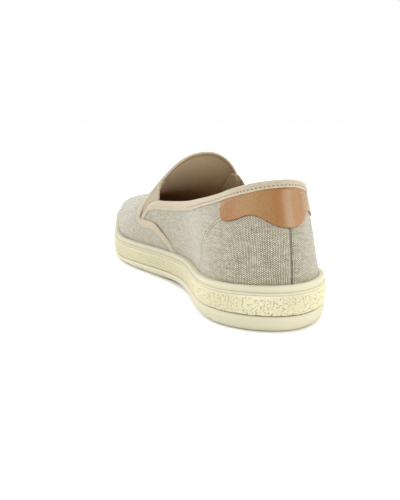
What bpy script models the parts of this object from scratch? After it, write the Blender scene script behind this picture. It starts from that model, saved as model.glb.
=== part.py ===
"""A right-foot canvas slip-on shoe: rubber cup sole with a braided band, hollow canvas upper with elastic gores.

Run it with blender --background --python part.py. Units are metres, +Z is up and +Y points to the toe.
-X is the inner side of the foot. The origin is on the floor, in the middle of the shoe's box.
"""

import math

import bmesh
import bpy
import numpy as np

MM = 0.001

# Driving dimensions
LENGTH = 292 * MM  # heel to toe over the braid, the widest line of the sole
BALL_WIDTH = 103.5 * MM  # inner to outer ball over the braid
WALL = 2 * MM  # canvas and lining together
GAP = 0.3 * MM  # clearance between neighbouring pieces
TOE_SPRING = 10 * MM  # rise of the sole's underside at the toe tip
SPRING_START = 205 * MM  # where that rise begins, from the back of the heel
ARCH_RISE = 1.4 * MM  # hollow of the underside in the waist
ARCH_FROM, ARCH_TO = 84 * MM, 150 * MM
LIP_THICKNESS = 5 * MM  # from the sole's widest line in to the upper's outer face
INSOLE_THICKNESS = 3 * MM
TREAD_DEPTH = 1.5 * MM
GORE_THICKNESS = 1 * MM
TAB_THICKNESS = 1.2 * MM

HEEL_CENTRE = 34 * MM  # the ribs of the heel fan out from here
TOE_CENTRE = 246 * MM  # and those of the toe from here
HEEL_RIBS, SIDE_RIBS, TOE_RIBS = 20, 22, 22

# The sole's widest line: along in shares of LENGTH, across in shares of BALL_WIDTH, inner side negative
OUTLINE = (
    ("heel back", 0.000, 0.000),
    ("inner heel", 0.091, -0.352),
    ("inner waist", 0.332, -0.310),
    ("inner ball", 0.685, -0.479),
    ("inner toe", 0.896, -0.352),
    ("inner tip", 0.964, -0.270),
    ("toe tip", 1.000, -0.070),
    ("outer tip", 0.976, 0.165),
    ("outer toe", 0.918, 0.335),
    ("outer ball", 0.649, 0.521),
    ("outer waist", 0.400, 0.382),
    ("outer heel", 0.091, 0.356),
)

# Heights above the sole's underside, in mm: along is from the back of the heel
LEVELS = {
    "along": (0, 60, 110, 160, 200, 250, 292),
    "groove": (9.4, 9.0, 8.0, 6.6, 5.6, 5.4, 5.6),
    "floor": (13.5, 12.6, 11.6, 10.4, 9.6, 9.4, 9.6),
    "ledge": (23.3, 20.7, 19.4, 18.5, 17.9, 18.3, 19.5),
    "lip": (27.1, 24.1, 22.8, 21.9, 21.3, 21.8, 23.4),
}

# The last, in mm: crown is the height of its ridge, spine the ridge's place across, square how boxy each half
# section is (2 is an ellipse) and swell how far it bulges past the lip
LAST = {
    "along": (0, 40, 90, 137, 165, 200, 235, 265, 292),
    "crown": (121, 111, 112, 90.7, 70, 57, 50, 45.4, 41.8),
    "spine": (-2, -1.6, 0.8, 2, 0.6, -1.4, -4, -7, -10),
    "square_inner": (2.2, 1.6, 2.8, 2.6, 2.6, 2.3, 2.3, 2.4, 2.6),
    "square_outer": (1.9, 2.1, 2.5, 2.28, 2.5, 2.3, 2.3, 2.4, 2.7),
    "swell_inner": (0.6, 2.8, 5.3, 8.6, 7.0, 4.8, 2.8, 1.3, 0.5),
    "swell_outer": (-6.1, -4.7, -0.1, 5.4, 4.6, 3.4, 2.2, 1.5, 1.2),
}

# The opening's edge seen from the side, in mm: the collar from the heel forward, then the vamp's edge upward
COLLAR = {
    "along": (-6, 8, 24, 47, 76, 106, 131),
    "height": (87.7, 85.3, 80.7, 72.8, 65.8, 60.4, 57.4),
}
QUARTER_NOSE = ((142, 56.3), (148.2, 54), (154, 50.4), (158.2, 45.4))  # the quarter's rounded front corner
VAMP_EDGE = {
    "height": (40.3, 56.6, 69.5, 82, 92.8, 112),
    "along": (164.2, 155.5, 145.8, 139, 135.7, 133),
}

# The heel tab: around is the distance from the back seam in mm, top and bottom are heights in mm
HEEL_TAB = {
    "around": (0, 6, 12, 18, 24.5, 31, 38, 43, 47.5, 49.5),
    "bottom": (57.8, 58.5, 60.5, 63.2, 65, 63.2, 60.5, 60, 62.6, 67),
}
TAB_TOP_BELOW_COLLAR = 5 * MM
SEAM_AT = -2 * MM  # the back seam, which the tab is centred on, stands this far round on the outer side

COLOURS = {
    "canvas": ((0.50, 0.46, 0.38), 0.9),
    "rubber": ((0.76, 0.72, 0.56), 0.55),
    "braid": ((0.80, 0.74, 0.50), 0.75),
    "leather": ((0.50, 0.24, 0.10), 0.42),
    "elastic": ((0.62, 0.54, 0.40), 0.85),
    "insole": ((0.42, 0.27, 0.15), 0.8),
}


# ---------------------------------------------------------------- curves through tables


def spline(knots, values, at, closed=False):
    """A smooth cubic curve through values at knots, read at the places in at. An open one ends straight."""
    knots, values = np.asarray(knots, float), np.asarray(values, float)
    count = len(knots)
    steps = np.diff(knots)
    system = np.zeros((count, count))
    rhs = np.zeros((count,) + values.shape[1:])
    slopes = (np.diff(values, axis=0).T / steps).T
    for i in range(1, count - 1):
        system[i, i - 1 : i + 2] = steps[i - 1], 2 * (steps[i - 1] + steps[i]), steps[i]
        rhs[i] = 6 * (slopes[i] - slopes[i - 1])
    if closed:
        system[0, [0, 1, -2]] = 2 * (steps[0] + steps[-1]), steps[0], steps[-1]
        rhs[0] = 6 * (slopes[0] - slopes[-1])
        system[-1, [0, -1]] = 1, -1
    else:
        system[0, 0] = system[-1, -1] = 1
    bend = np.linalg.solve(system, rhs)
    at = np.clip(np.asarray(at, float), knots[0], knots[-1])
    cell = np.clip(np.searchsorted(knots, at, side="right") - 1, 0, count - 2)
    step = steps[cell]
    left, right = knots[cell + 1] - at, at - knots[cell]
    if values.ndim > 1:
        step, left, right = step[:, None], left[:, None], right[:, None]
    cubic = (bend[cell] * left**3 + bend[cell + 1] * right**3) / (6 * step)
    linear_left = (values[cell] / step - bend[cell] * step / 6) * left
    linear_right = (values[cell + 1] / step - bend[cell + 1] * step / 6) * right
    return cubic + linear_left + linear_right


def along_table(table, column, along):
    """A column of a table in mm, read at a distance along the shoe in metres."""
    return MM * spline(table["along"], table[column], np.asarray(along) / MM)


def last(column, along):
    """A plain number from the table of the last."""
    return spline(LAST["along"], LAST[column], np.asarray(along) / MM)


# ---------------------------------------------------------------- outlines and ribs, in plan


def sole_outline(samples=720):
    """The sole's widest line as a closed run of points from the back of the heel, inner side first."""
    corners = np.array([(across * BALL_WIDTH, along * LENGTH) for _, along, across in OUTLINE])
    ring = np.vstack([corners, corners[:1]])
    chord = np.concatenate([[0], np.cumsum(np.linalg.norm(np.diff(ring, axis=0), axis=1))])
    points = spline(chord, ring, np.linspace(0, chord[-1], samples + 1), closed=True)[:-1]
    points[:, 1] -= points[:, 1].min()
    points[:, 1] *= LENGTH / points[:, 1].max()
    return points


def inset_line(points, inset):
    """The closed line moved inward by inset."""
    ahead = np.roll(points, -1, axis=0) - np.roll(points, 1, axis=0)
    inward = np.column_stack([ahead[:, 1], -ahead[:, 0]])
    return points + inset * inward / np.linalg.norm(inward, axis=1)[:, None]


EDGE = sole_outline()
FRAME_SHIFT = np.array([(EDGE[:, 0].min() + EDGE[:, 0].max()) / 2, LENGTH / 2, 0])


def ribs():
    """Rib after rib round the shoe: the point of the spine that it leaves from, and its direction in plan."""
    fan_heel = np.linspace(270, 180, HEEL_RIBS // 2 + 1)
    fan_toe = np.linspace(180, 0, TOE_RIBS + 1)
    sides = np.linspace(HEEL_CENTRE, TOE_CENTRE, SIDE_RIBS + 2)[1:-1]
    order = [(HEEL_CENTRE, angle) for angle in fan_heel]
    order += [(along, 180) for along in sides]
    order += [(TOE_CENTRE, angle) for angle in fan_toe]
    order += [(along, 0) for along in sides[::-1]]
    order += [(HEEL_CENTRE, 540 - angle) for angle in fan_heel[:0:-1]]
    roots = np.array([(MM * float(last("spine", along)), along) for along, _ in order])
    turns = np.radians([angle for _, angle in order])
    return roots, np.column_stack([np.cos(turns), np.sin(turns)])


ROOTS, DIRECTIONS = ribs()


def reach(inset):
    """How far each rib runs from the spine to the sole's widest line moved inward by inset."""
    line = inset_line(EDGE, inset)
    start, span = line, np.roll(line, -1, axis=0) - line
    found = []
    for root, direction in zip(ROOTS, DIRECTIONS):
        offset = start - root
        cross = direction[0] * span[:, 1] - direction[1] * span[:, 0]
        distance = (offset[:, 0] * span[:, 1] - offset[:, 1] * span[:, 0]) / cross
        share = (offset[:, 0] * direction[1] - offset[:, 1] * direction[0]) / cross
        found.append(distance[(distance > 0) & (share >= 0) & (share < 1)].min())
    return np.array(found)


def plan(distances):
    """The plan point at each rib's distance from the spine."""
    return ROOTS + DIRECTIONS * distances[:, None]


# ---------------------------------------------------------------- heights


def ground(along):
    """The sole's underside: flat under heel and ball, hollow in the waist, rising to the toe."""
    waist = np.clip((along - ARCH_FROM) / (ARCH_TO - ARCH_FROM), 0, 1)
    toe = np.clip((along - SPRING_START) / (LENGTH - SPRING_START), 0, 1)
    return ARCH_RISE * np.sin(math.pi * waist) ** 2 + TOE_SPRING * toe**2


def level(name, along):
    """A height of the sole's side that follows the toe's rise but not the waist's hollow."""
    toe = np.clip((along - SPRING_START) / (LENGTH - SPRING_START), 0, 1)
    return along_table(LEVELS, name, along) + TOE_SPRING * toe**2


def flat_ring(distances, height):
    """A ring of points, one a rib, at height(along)."""
    points = plan(distances)
    return np.column_stack([points, height(points[:, 1])])


def sole_ring(inset, height):
    return flat_ring(reach(inset), height)


def floor_rings(inset, height, shares=(0.72, 0.42)):
    """Rings from an inset line to the spine, for a floor or an underside."""
    full = reach(inset)
    return [flat_ring(full * share, height) for share in (1, *shares, 0)]


def between(low, high, share):
    """The height at a share of the way from one height to another."""
    return lambda along: low(along) * (1 - share) + high(along) * share


def raised(base, rise):
    return lambda along: base(along) + rise


def named(name):
    return lambda along: level(name, along)


# ---------------------------------------------------------------- the last's surface

UPPER_INSET = LIP_THICKNESS + GAP
UPPER_REACH = reach(UPPER_INSET)
SIDE = np.where(DIRECTIONS[:, 0] < 0, "inner", "outer")


def last_ring(turn):
    """The last at one turn of its sections, from 0 at the lip to a quarter turn at the crown. turn may differ by rib."""
    edge_along = plan(UPPER_REACH)[:, 1]
    start = level("lip", edge_along)
    outer = (1 + DIRECTIONS[:, 0]) / 2
    square = last("square_inner", edge_along) * (1 - outer) + last("square_outer", edge_along) * outer
    swell = MM * (last("swell_inner", edge_along) * (1 - outer) + last("swell_outer", edge_along) * outer)
    cosine, sine = np.maximum(np.cos(turn), 0), np.sin(turn)
    points = plan(UPPER_REACH * cosine ** (2 / square) + swell * np.sin(2 * turn) * cosine)
    crown = along_table(LAST, "crown", points[:, 1])
    return np.column_stack([points, start + (crown - start) * sine ** (2 / square)])


def last_at_height(heights):
    """The last at one height for each rib, found by halving the turn."""
    low, high = np.zeros(len(ROOTS)), np.full(len(ROOTS), math.pi / 2)
    for _ in range(30):
        middle = (low + high) / 2
        under = last_ring(middle)[:, 2] < heights
        low, high = np.where(under, middle, low), np.where(under, high, middle)
    return last_ring((low + high) / 2)


# ---------------------------------------------------------------- Blender objects


def material(name):
    colour, roughness = COLOURS[name]
    made = bpy.data.materials.get(name) or bpy.data.materials.new(name)
    made.use_nodes = True
    shader = made.node_tree.nodes["Principled BSDF"]
    shader.inputs["Base Color"].default_value = (*colour, 1)
    shader.inputs["Roughness"].default_value = roughness
    shader.inputs["Metallic"].default_value = 0
    return made


def collection(name, shown=True):
    made = bpy.data.collections.new(name)
    made.hide_render = not shown
    bpy.context.scene.collection.children.link(made)
    return made


def add_object(name, mesh, home, finish):
    made = bpy.data.objects.new(name, mesh)
    made.data.materials.append(material(finish))
    home.objects.link(made)
    return made


def flat(face):
    """Whether a face's corners lie in one plane."""
    centre = face.calc_center_median()
    return all(abs((vert.co - centre).dot(face.normal)) < 1e-7 for vert in face.verts)


def loft(name, rings, home, finish, round_again=False, open_ends=False):
    """A mesh of faces between rings of points, one point a rib. Rings that meet on the spine close it."""
    grid = np.array(rings) - FRAME_SHIFT
    mesh = bmesh.new()
    verts = [[mesh.verts.new(point) for point in ring] for ring in grid]
    count = len(rings) if round_again else len(rings) - 1
    columns = len(verts[0]) - 1 if open_ends else len(verts[0])
    for k in range(count):
        for i in range(columns):
            j, below, above = (i + 1) % len(verts[k]), verts[k], verts[(k + 1) % len(verts)]
            mesh.faces.new((below[i], below[j], above[j], above[i]))
    bmesh.ops.remove_doubles(mesh, verts=mesh.verts, dist=0.00001)
    bmesh.ops.dissolve_degenerate(mesh, edges=mesh.edges, dist=0.00001)
    bmesh.ops.triangulate(mesh, faces=[face for face in mesh.faces if len(face.verts) > 3 and not flat(face)])
    bmesh.ops.recalc_face_normals(mesh, faces=mesh.faces)
    data = bpy.data.meshes.new(name)
    mesh.to_mesh(data)
    mesh.free()
    data.shade_smooth()
    data.set_sharp_from_angle(angle=math.radians(35))
    return add_object(name, data, home, finish)


def plate(name, outline, thickness, home):
    """A flat cutter in the XY plane: a filled 2D outline with half its thickness on each side, made a mesh."""
    curve = bpy.data.curves.new(name, "CURVE")
    curve.dimensions = "2D"
    curve.fill_mode = "BOTH"
    curve.extrude = thickness / 2
    line = curve.splines.new("POLY")
    line.points.add(len(outline) - 1)
    for point, (x, y) in zip(line.points, outline):
        point.co = (x, y, 0, 1)
    line.use_cyclic_u = True
    source = bpy.data.objects.new(name + "_outline", curve)
    home.objects.link(source)
    graph = bpy.context.evaluated_depsgraph_get()
    data = bpy.data.meshes.new_from_object(source.evaluated_get(graph))
    bpy.data.objects.remove(source)
    mesh = bmesh.new()
    mesh.from_mesh(data)
    bmesh.ops.remove_doubles(mesh, verts=mesh.verts, dist=0.000001)
    bmesh.ops.recalc_face_normals(mesh, faces=mesh.faces)
    mesh.to_mesh(data)
    mesh.free()
    cutter = bpy.data.objects.new(name, data)
    cutter.hide_render = True
    cutter.display_type = "WIRE"
    home.objects.link(cutter)
    return cutter


def solidify(target, thickness, inward=True):
    shell = target.modifiers.new("wall", "SOLIDIFY")
    shell.thickness = thickness
    shell.offset = -1 if inward else 1
    shell.use_even_offset = True
    shell.use_quality_normals = True


def displace(target, distance):
    shift = target.modifiers.new("shift", "DISPLACE")
    shift.strength = distance
    shift.mid_level = 0


def cut(target, cutter):
    removal = target.modifiers.new("cut " + cutter.name, "BOOLEAN")
    removal.operation = "DIFFERENCE"
    removal.object = cutter


# ---------------------------------------------------------------- the sole


def tread_groove(name, along, home):
    """A zigzag channel across the underside, ending short of the sole's edge."""
    width, rise, margin, zigzags = 2.2 * MM, 3 * MM, 9 * MM, 6
    inside = EDGE[np.abs(EDGE[:, 1] - along) < 1 * MM][:, 0]
    across = np.linspace(inside.min() + margin, inside.max() - margin, zigzags + 1)
    teeth = along + rise * (np.arange(zigzags + 1) % 2)
    front = [(x, y + width / 2) for x, y in zip(across, teeth)]
    back = [(x, y - width / 2) for x, y in zip(across[::-1], teeth[::-1])]
    outline = [(x - FRAME_SHIFT[0], y - FRAME_SHIFT[1]) for x, y in front + back]
    return plate(name, outline, 2 * TREAD_DEPTH, home)


def build_outsole(shown, cutters):
    """The rubber bottom, with flat treads under heel and ball and a rounded lower edge."""
    top = named("groove")
    # inset in mm, share of the height
    side = ((5.0, 0.0), (3.1, 0.1), (1.9, 0.32), (1.35, 0.6), (1.2, 0.88), (1.7, 1.0))
    rings = floor_rings(side[0][0] * MM, ground)[::-1]
    rings += [sole_ring(inset * MM, between(ground, top, share)) for inset, share in side[1:]]
    rings += floor_rings(side[-1][0] * MM, top)[1:]
    outsole = loft("outsole", rings, shown, "rubber")
    for number, along in enumerate((18, 28, 38, 56, 66, 160, 170, 186, 196, 206)):
        cut(outsole, tread_groove(f"tread_{number}", along * MM, cutters))


def build_midsole(shown):
    """The braided band with its floor: a cup that the upper stands in."""
    bottom, top, floor = raised(named("groove"), GAP), named("ledge"), named("floor")
    side = ((2.0, 0.0), (0.5, 0.12), (0.0, 0.5), (0.4, 0.86), (1.0, 1.0))
    rings = floor_rings(side[0][0] * MM, bottom)[::-1]
    rings += [sole_ring(inset * MM, between(bottom, top, share)) for inset, share in side[1:]]
    rings += [sole_ring(LIP_THICKNESS, top)]
    rings += floor_rings(LIP_THICKNESS, floor)
    loft("midsole_braid", rings, shown, "braid")


def build_lip(shown):
    """The smooth rubber rim that grips the upper above the braid."""
    bottom, top = raised(named("ledge"), GAP), named("lip")
    side = ((2.0, 0.0), (1.3, 0.3), (1.5, 0.7), (2.4, 0.95), (3.2, 1.0))
    rings = [sole_ring(inset * MM, between(bottom, top, share)) for inset, share in side]
    rings += [sole_ring(LIP_THICKNESS, height) for height in (top, bottom)]
    loft("sole_lip", rings, shown, "rubber", round_again=True)


def build_insole(shown):
    """The footbed inside the upper."""
    bottom = raised(named("floor"), GAP)
    top = raised(bottom, INSOLE_THICKNESS)
    edge = UPPER_INSET + WALL + GAP
    rings = floor_rings(edge, bottom)[::-1] + floor_rings(edge, top)
    loft("insole", rings, shown, "insole")


# ---------------------------------------------------------------- the upper


def opening_outline():
    """The edge of the opening from the side, with the region above it closed far over the shoe, in metres."""
    along = np.linspace(COLLAR["along"][0], COLLAR["along"][-1], 22)
    collar = list(zip(along, spline(COLLAR["along"], COLLAR["height"], along)))
    height = np.linspace(VAMP_EDGE["height"][0], VAMP_EDGE["height"][-1], 14)
    vamp = list(zip(spline(VAMP_EDGE["height"], VAMP_EDGE["along"], height), height))
    over = [(VAMP_EDGE["along"][-1], 150), (COLLAR["along"][0], 150)]
    edge = collar + [*QUARTER_NOSE] + vamp + over
    return [(along * MM - FRAME_SHIFT[1], height * MM) for along, height in edge]


def build_upper(shown, cutters):
    """The canvas: the last's surface down to the cup's floor, hollow, opened from the heel to the instep."""
    floor = raised(named("floor"), GAP)
    rings = [flat_ring(UPPER_REACH, floor)]
    rings += [last_ring(np.full(len(ROOTS), turn)) for turn in np.radians(np.linspace(0, 90, 17))]
    upper = loft("upper", rings, shown, "canvas")
    solidify(upper, WALL)
    opening = plate("opening", opening_outline(), 2 * BALL_WIDTH, cutters)
    opening.rotation_euler = (math.radians(90), 0, math.radians(90))
    cut(upper, opening)


def side_patch(name, side, corners, shown, finish):
    """A patch of the last on one side between four corners seen from the side, in mm."""
    steps = 8
    low_back, low_front, high_front, high_back = (np.array(corner, float) for corner in corners)
    rows = []
    for up in np.linspace(0, 1, steps):
        start, end = low_back + (high_back - low_back) * up, low_front + (high_front - low_front) * up
        row = []
        for share in np.linspace(0, 1, steps):
            along, height = MM * (start + (end - start) * share)
            row.append(point_on_side(side, along, height))
        rows.append(row)
    return loft(name, rows, shown, finish, open_ends=True)


def point_on_side(side, along, height):
    """The last's surface at a distance along and a height, on one side between the fans."""
    level_ring = last_at_height(np.full(len(ROOTS), height))
    straight = np.abs(DIRECTIONS[:, 0]) > 0.999
    on_side = straight & (SIDE == side)
    order = np.argsort(level_ring[on_side, 1])
    line = level_ring[on_side][order]
    return np.array([np.interp(along, line[:, 1], line[:, 0]), along, height])


def build_gores(shown):
    """Elastic behind each notch, lapped inside the canvas."""
    corners = ((138, 36), (196, 41), (148.5, 76), (142.5, 76))
    for side in ("inner", "outer"):
        gore = side_patch("gore_" + side, side, corners, shown, "elastic")
        displace(gore, -(WALL + GAP))
        solidify(gore, GORE_THICKNESS)


def build_heel_tab(shown):
    """The leather tab round the back of the heel, with its waved lower edge."""
    edge = plan(UPPER_REACH)
    edge = np.vstack([edge, edge[:1]])
    walk = np.concatenate([[0], np.cumsum(np.linalg.norm(np.diff(edge, axis=0), axis=1))])
    end = HEEL_TAB["around"][-1]
    around = np.linspace(-end, end, 43)
    place = np.mod(around * MM + SEAM_AT * (1 - (around / end) ** 2), walk[-1])
    bottom = MM * spline(HEEL_TAB["around"], HEEL_TAB["bottom"], np.abs(around))
    along = np.interp(place, walk, edge[:, 1])
    top = along_table(COLLAR, "height", along) - TAB_TOP_BELOW_COLLAR
    rows = []
    for share in np.linspace(0, 1, 6):
        row = []
        for spot, height in zip(place, bottom + (top - bottom) * share):
            ring = last_at_height(np.full(len(ROOTS), height))
            ring = np.vstack([ring, ring[:1]])
            row.append([np.interp(spot, walk, ring[:, axis]) for axis in range(3)])
        rows.append(row)
    tab = loft("heel_tab", rows, shown, "leather", open_ends=True)
    displace(tab, GAP)
    solidify(tab, TAB_THICKNESS, inward=False)


def main():
    for existing in list(bpy.data.objects):
        bpy.data.objects.remove(existing)
    shown, cutters = collection("slip_on_shoe"), collection("cutters", shown=False)
    build_outsole(shown, cutters)
    build_midsole(shown)
    build_lip(shown)
    build_insole(shown)
    build_upper(shown, cutters)
    build_gores(shown)
    build_heel_tab(shown)


main()
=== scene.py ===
"""The canvas slip-on shoe's visual model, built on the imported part.

Lengths are in millimetres until a mesh is made. +Y points to the toe, and +X to the outer side of the right
foot. Tables give heights above the floor and distances from the back of the heel, as in the part's source.
"""

import math

import bmesh
import bpy
import numpy as np
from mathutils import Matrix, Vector


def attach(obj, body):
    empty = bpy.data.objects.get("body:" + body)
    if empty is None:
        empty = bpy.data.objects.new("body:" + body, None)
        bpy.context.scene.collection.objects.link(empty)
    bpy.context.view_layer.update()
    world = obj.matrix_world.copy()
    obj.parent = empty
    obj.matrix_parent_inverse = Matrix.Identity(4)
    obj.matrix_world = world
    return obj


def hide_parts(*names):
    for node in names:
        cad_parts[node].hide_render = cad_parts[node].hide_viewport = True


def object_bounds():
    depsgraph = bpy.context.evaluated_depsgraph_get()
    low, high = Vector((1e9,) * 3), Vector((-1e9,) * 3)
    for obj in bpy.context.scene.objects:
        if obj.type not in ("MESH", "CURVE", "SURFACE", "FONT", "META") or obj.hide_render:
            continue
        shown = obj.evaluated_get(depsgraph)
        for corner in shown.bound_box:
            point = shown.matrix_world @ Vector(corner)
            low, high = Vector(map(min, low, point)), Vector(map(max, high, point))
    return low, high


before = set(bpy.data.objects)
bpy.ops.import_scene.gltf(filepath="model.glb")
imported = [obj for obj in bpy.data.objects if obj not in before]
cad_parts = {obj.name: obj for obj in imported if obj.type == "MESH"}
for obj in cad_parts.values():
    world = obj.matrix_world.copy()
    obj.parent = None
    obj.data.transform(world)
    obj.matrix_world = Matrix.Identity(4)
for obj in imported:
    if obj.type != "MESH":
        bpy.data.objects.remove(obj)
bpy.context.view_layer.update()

MM = 0.001

# ---------------------------------------------------------------- sizes shared with the part
# The throat's outer shoulder, in LAST's swell_outer, is a little fuller than the part's.

LENGTH, BALL_WIDTH = 292, 103.5
LIP_THICKNESS, GAP, WALL = 5, 0.3, 2
TOE_SPRING, SPRING_START = 10, 205
ARCH_RISE, ARCH_FROM, ARCH_TO = 1.4, 84, 150
HEEL_CENTRE, TOE_CENTRE = 34, 246

OUTLINE = (
    ("heel back", 0.000, 0.000), ("inner heel", 0.091, -0.352), ("inner waist", 0.332, -0.310),
    ("inner ball", 0.685, -0.479), ("inner toe", 0.896, -0.352), ("inner tip", 0.964, -0.270),
    ("toe tip", 1.000, -0.070), ("outer tip", 0.976, 0.165), ("outer toe", 0.918, 0.335),
    ("outer ball", 0.649, 0.521), ("outer waist", 0.400, 0.382), ("outer heel", 0.091, 0.356),
)
LEVELS = {
    "along": (0, 60, 110, 160, 200, 250, 292), "groove": (9.4, 9.0, 8.0, 6.6, 5.6, 5.4, 5.6),
    "floor": (13.5, 12.6, 11.6, 10.4, 9.6, 9.4, 9.6), "ledge": (23.3, 20.7, 19.4, 18.5, 17.9, 18.3, 19.5),
    "lip": (27.1, 24.1, 22.8, 21.9, 21.3, 21.8, 23.4),
}
LAST = {
    "along": (0, 40, 90, 137, 165, 200, 235, 265, 292),
    "crown": (121, 111, 112, 90.7, 70, 57, 50, 45.4, 41.8),
    "spine": (-2, -1.6, 0.8, 2, 0.6, -1.4, -4, -7, -10),
    "square_inner": (2.2, 1.6, 2.8, 2.6, 2.6, 2.3, 2.3, 2.4, 2.6),
    "square_outer": (1.9, 2.1, 2.5, 2.28, 2.5, 2.3, 2.3, 2.4, 2.7),
    "swell_inner": (0.6, 2.8, 5.3, 8.6, 7.0, 4.8, 2.8, 1.3, 0.5),
    "swell_outer": (-6.1, -4.7, -0.1, 6.3, 4.9, 3.4, 2.2, 1.5, 1.2),
}
COLLAR = {"along": (-6, 8, 24, 47, 76, 106, 131), "height": (87.7, 85.3, 80.7, 72.8, 65.8, 60.4, 57.4)}
QUARTER_NOSE = ((142, 56.3), (148.2, 54), (154, 50.4), (158.2, 45.4))
VAMP_EDGE = {"height": (40.3, 56.6, 69.5, 82, 92.8, 112), "along": (164.2, 155.5, 145.8, 139, 135.7, 133)}
HEEL_TAB = {
    "around": (0, 6, 12, 18, 24.5, 31, 38, 43, 47.5, 49.5),
    "bottom": (57.8, 58.5, 60.5, 63.2, 65, 63.2, 60.5, 60, 62.6, 67),
}
NOTCH = (VAMP_EDGE["along"][0], VAMP_EDGE["height"][0])  # the lowest point of each side's notch
SEAM_AT = -2  # the back seam's distance round from the sole's rearmost point, on the outer side

# ---------------------------------------------------------------- sizes of the thin parts

CANVAS_THICKNESS, LINING_THICKNESS, ELASTIC_THICKNESS = 0.9, 0.8, 1.0
LINING_GAP, ELASTIC_GAP = 0.15, 0.4  # the air between canvas and lining, and between lining and elastic
TAPE_WIDTH = 5.4
STITCH_INSET = 2.2  # the row of stitches stands this far from the tape's lower edge
STITCH_LIFT = 0.62  # how far out they stand from the cloth under the tape
STITCH_PITCH = 2.4
TAPE_STITCH, ARC_STITCH = (1.25, 0.24), (1.9, 0.27)  # length and radius of a stitch
WARP, WEFT = 0.96, 0.56  # the canvas's threads
# The outline of the elastic behind each notch, seen from the side as distance along and height
GORE = (
    (138, 60), (137.5, 50), (138, 42), (143, 37), (152, 35.5), (164, 36), (180, 38.5), (192, 41.5), (196, 45),
    (190, 49), (182, 54), (171.8, 60.6), (161.7, 66.3), (154, 70.6), (149, 73.6), (145.4, 76.2),
    (142.6, 77.2), (141.4, 74), (140.4, 69),
)
GORE_TOP = {"inner": 72, "outer": 78}
LAP_FADES = (192, 168)  # the vamp's lift over the quarter fades out between these distances along
LAP_BEND = 139  # it is highest at this one
# The vamp's rear edge where it laps over the quarter, from the rim up to the notch
LAP = {
    "along": (119.5, 123, 126.3, 129.6, 132.7, 136, 139.4, 143, 147.5, 153, 160),
    "height": (17, 22.4, 27, 30.3, 32.9, 35.5, 38.1, 39.9, 40.6, 40.5, 40.4),
}
ARC_ROWS_APART, ARC_FOOT = 3.0, 22.5  # the rows end at this height, behind the rim
# The counter's stitched outline on the quarter: distance round from the back seam and height
COUNTER_ARC = {
    "share": (0, 1, 2, 3, 4, 5, 6), "around": (48.5, 56.5, 62.5, 66, 68.5, 73, 79),
    "height": (62, 56, 49.5, 42, 34, 28, 23),
}


# ---------------------------------------------------------------- curves and numbers


def spline(knots, values, at, closed=False):
    """A smooth cubic curve through values at knots, read at the places in at. An open one ends straight."""
    knots, values = np.asarray(knots, float), np.asarray(values, float)
    count = len(knots)
    steps = np.diff(knots)
    system = np.zeros((count, count))
    rhs = np.zeros((count,) + values.shape[1:])
    slopes = (np.diff(values, axis=0).T / steps).T
    for i in range(1, count - 1):
        system[i, i - 1 : i + 2] = steps[i - 1], 2 * (steps[i - 1] + steps[i]), steps[i]
        rhs[i] = 6 * (slopes[i] - slopes[i - 1])
    if closed:
        system[0, [0, 1, -2]] = 2 * (steps[0] + steps[-1]), steps[0], steps[-1]
        rhs[0] = 6 * (slopes[0] - slopes[-1])
        system[-1, [0, -1]] = 1, -1
    else:
        system[0, 0] = system[-1, -1] = 1
    bend = np.linalg.solve(system, rhs)
    at = np.clip(np.asarray(at, float), knots[0], knots[-1])
    cell = np.clip(np.searchsorted(knots, at, side="right") - 1, 0, count - 2)
    step = steps[cell]
    left, right = knots[cell + 1] - at, at - knots[cell]
    if values.ndim > 1:
        step, left, right = step[:, None], left[:, None], right[:, None]
    cubic = (bend[cell] * left**3 + bend[cell + 1] * right**3) / (6 * step)
    linear_left = (values[cell] / step - bend[cell] * step / 6) * left
    linear_right = (values[cell + 1] / step - bend[cell + 1] * step / 6) * right
    return cubic + linear_left + linear_right


def table(rows, column, at, key="along"):
    """A table's column, read smoothly at places in its key column."""
    return spline(rows[key], rows[column], at)


def ease(low, high, value):
    """0 below low, 1 above high, and smooth between. low may be the larger."""
    share = np.clip((value - low) / (high - low), 0, 1)
    return share * share * (3 - 2 * share)


def hump(offset, width):
    """1 where offset is 0, and falling smoothly to both sides over about width."""
    return np.exp(-((offset / width) ** 2))


def path_lengths(points):
    """The distance from a path's start to each of its points."""
    return np.concatenate([[0], np.cumsum(np.linalg.norm(np.diff(points, axis=0), axis=1))])


def unit(vectors):
    """The same vectors, each 1 long."""
    return vectors / np.maximum(np.linalg.norm(vectors, axis=-1, keepdims=True), 1e-9)


def waves(points, size, seed, count=24):
    """A smooth random field of about -1 to 1, made of plane waves no shorter than size."""
    draw = np.random.default_rng(seed)
    heading = unit(draw.normal(size=(count, points.shape[-1])))
    rate = 2 * math.pi / (size * draw.uniform(1, 2.5, count))
    phase = draw.uniform(0, 2 * math.pi, count)
    return np.sin((points @ heading.T) * rate + phase).sum(-1) / math.sqrt(count)


# ---------------------------------------------------------------- the sole's outline and the last's ribs


def sole_outline(samples):
    """The sole's widest line as a closed run of points from the back of the heel, inner side first."""
    corners = np.array([(across * BALL_WIDTH, along * LENGTH) for _, along, across in OUTLINE])
    ring = np.vstack([corners, corners[:1]])
    lengths = path_lengths(ring)
    points = spline(lengths, ring, np.linspace(0, lengths[-1], samples + 1), closed=True)[:-1]
    points[:, 1] -= points[:, 1].min()
    points[:, 1] *= LENGTH / points[:, 1].max()
    return points


def outward(points):
    """The outward normals of a closed run of points in plan."""
    ahead = np.roll(points, -1, axis=0) - np.roll(points, 1, axis=0)
    return unit(np.column_stack([-ahead[:, 1], ahead[:, 0]]))


EDGE = sole_outline(720)
SHIFT = np.array([(EDGE[:, 0].min() + EDGE[:, 0].max()) / 2, LENGTH / 2, 0])

HEEL_STEPS, SIDE_STEPS, TOE_STEPS = 60, 176, 100


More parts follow.
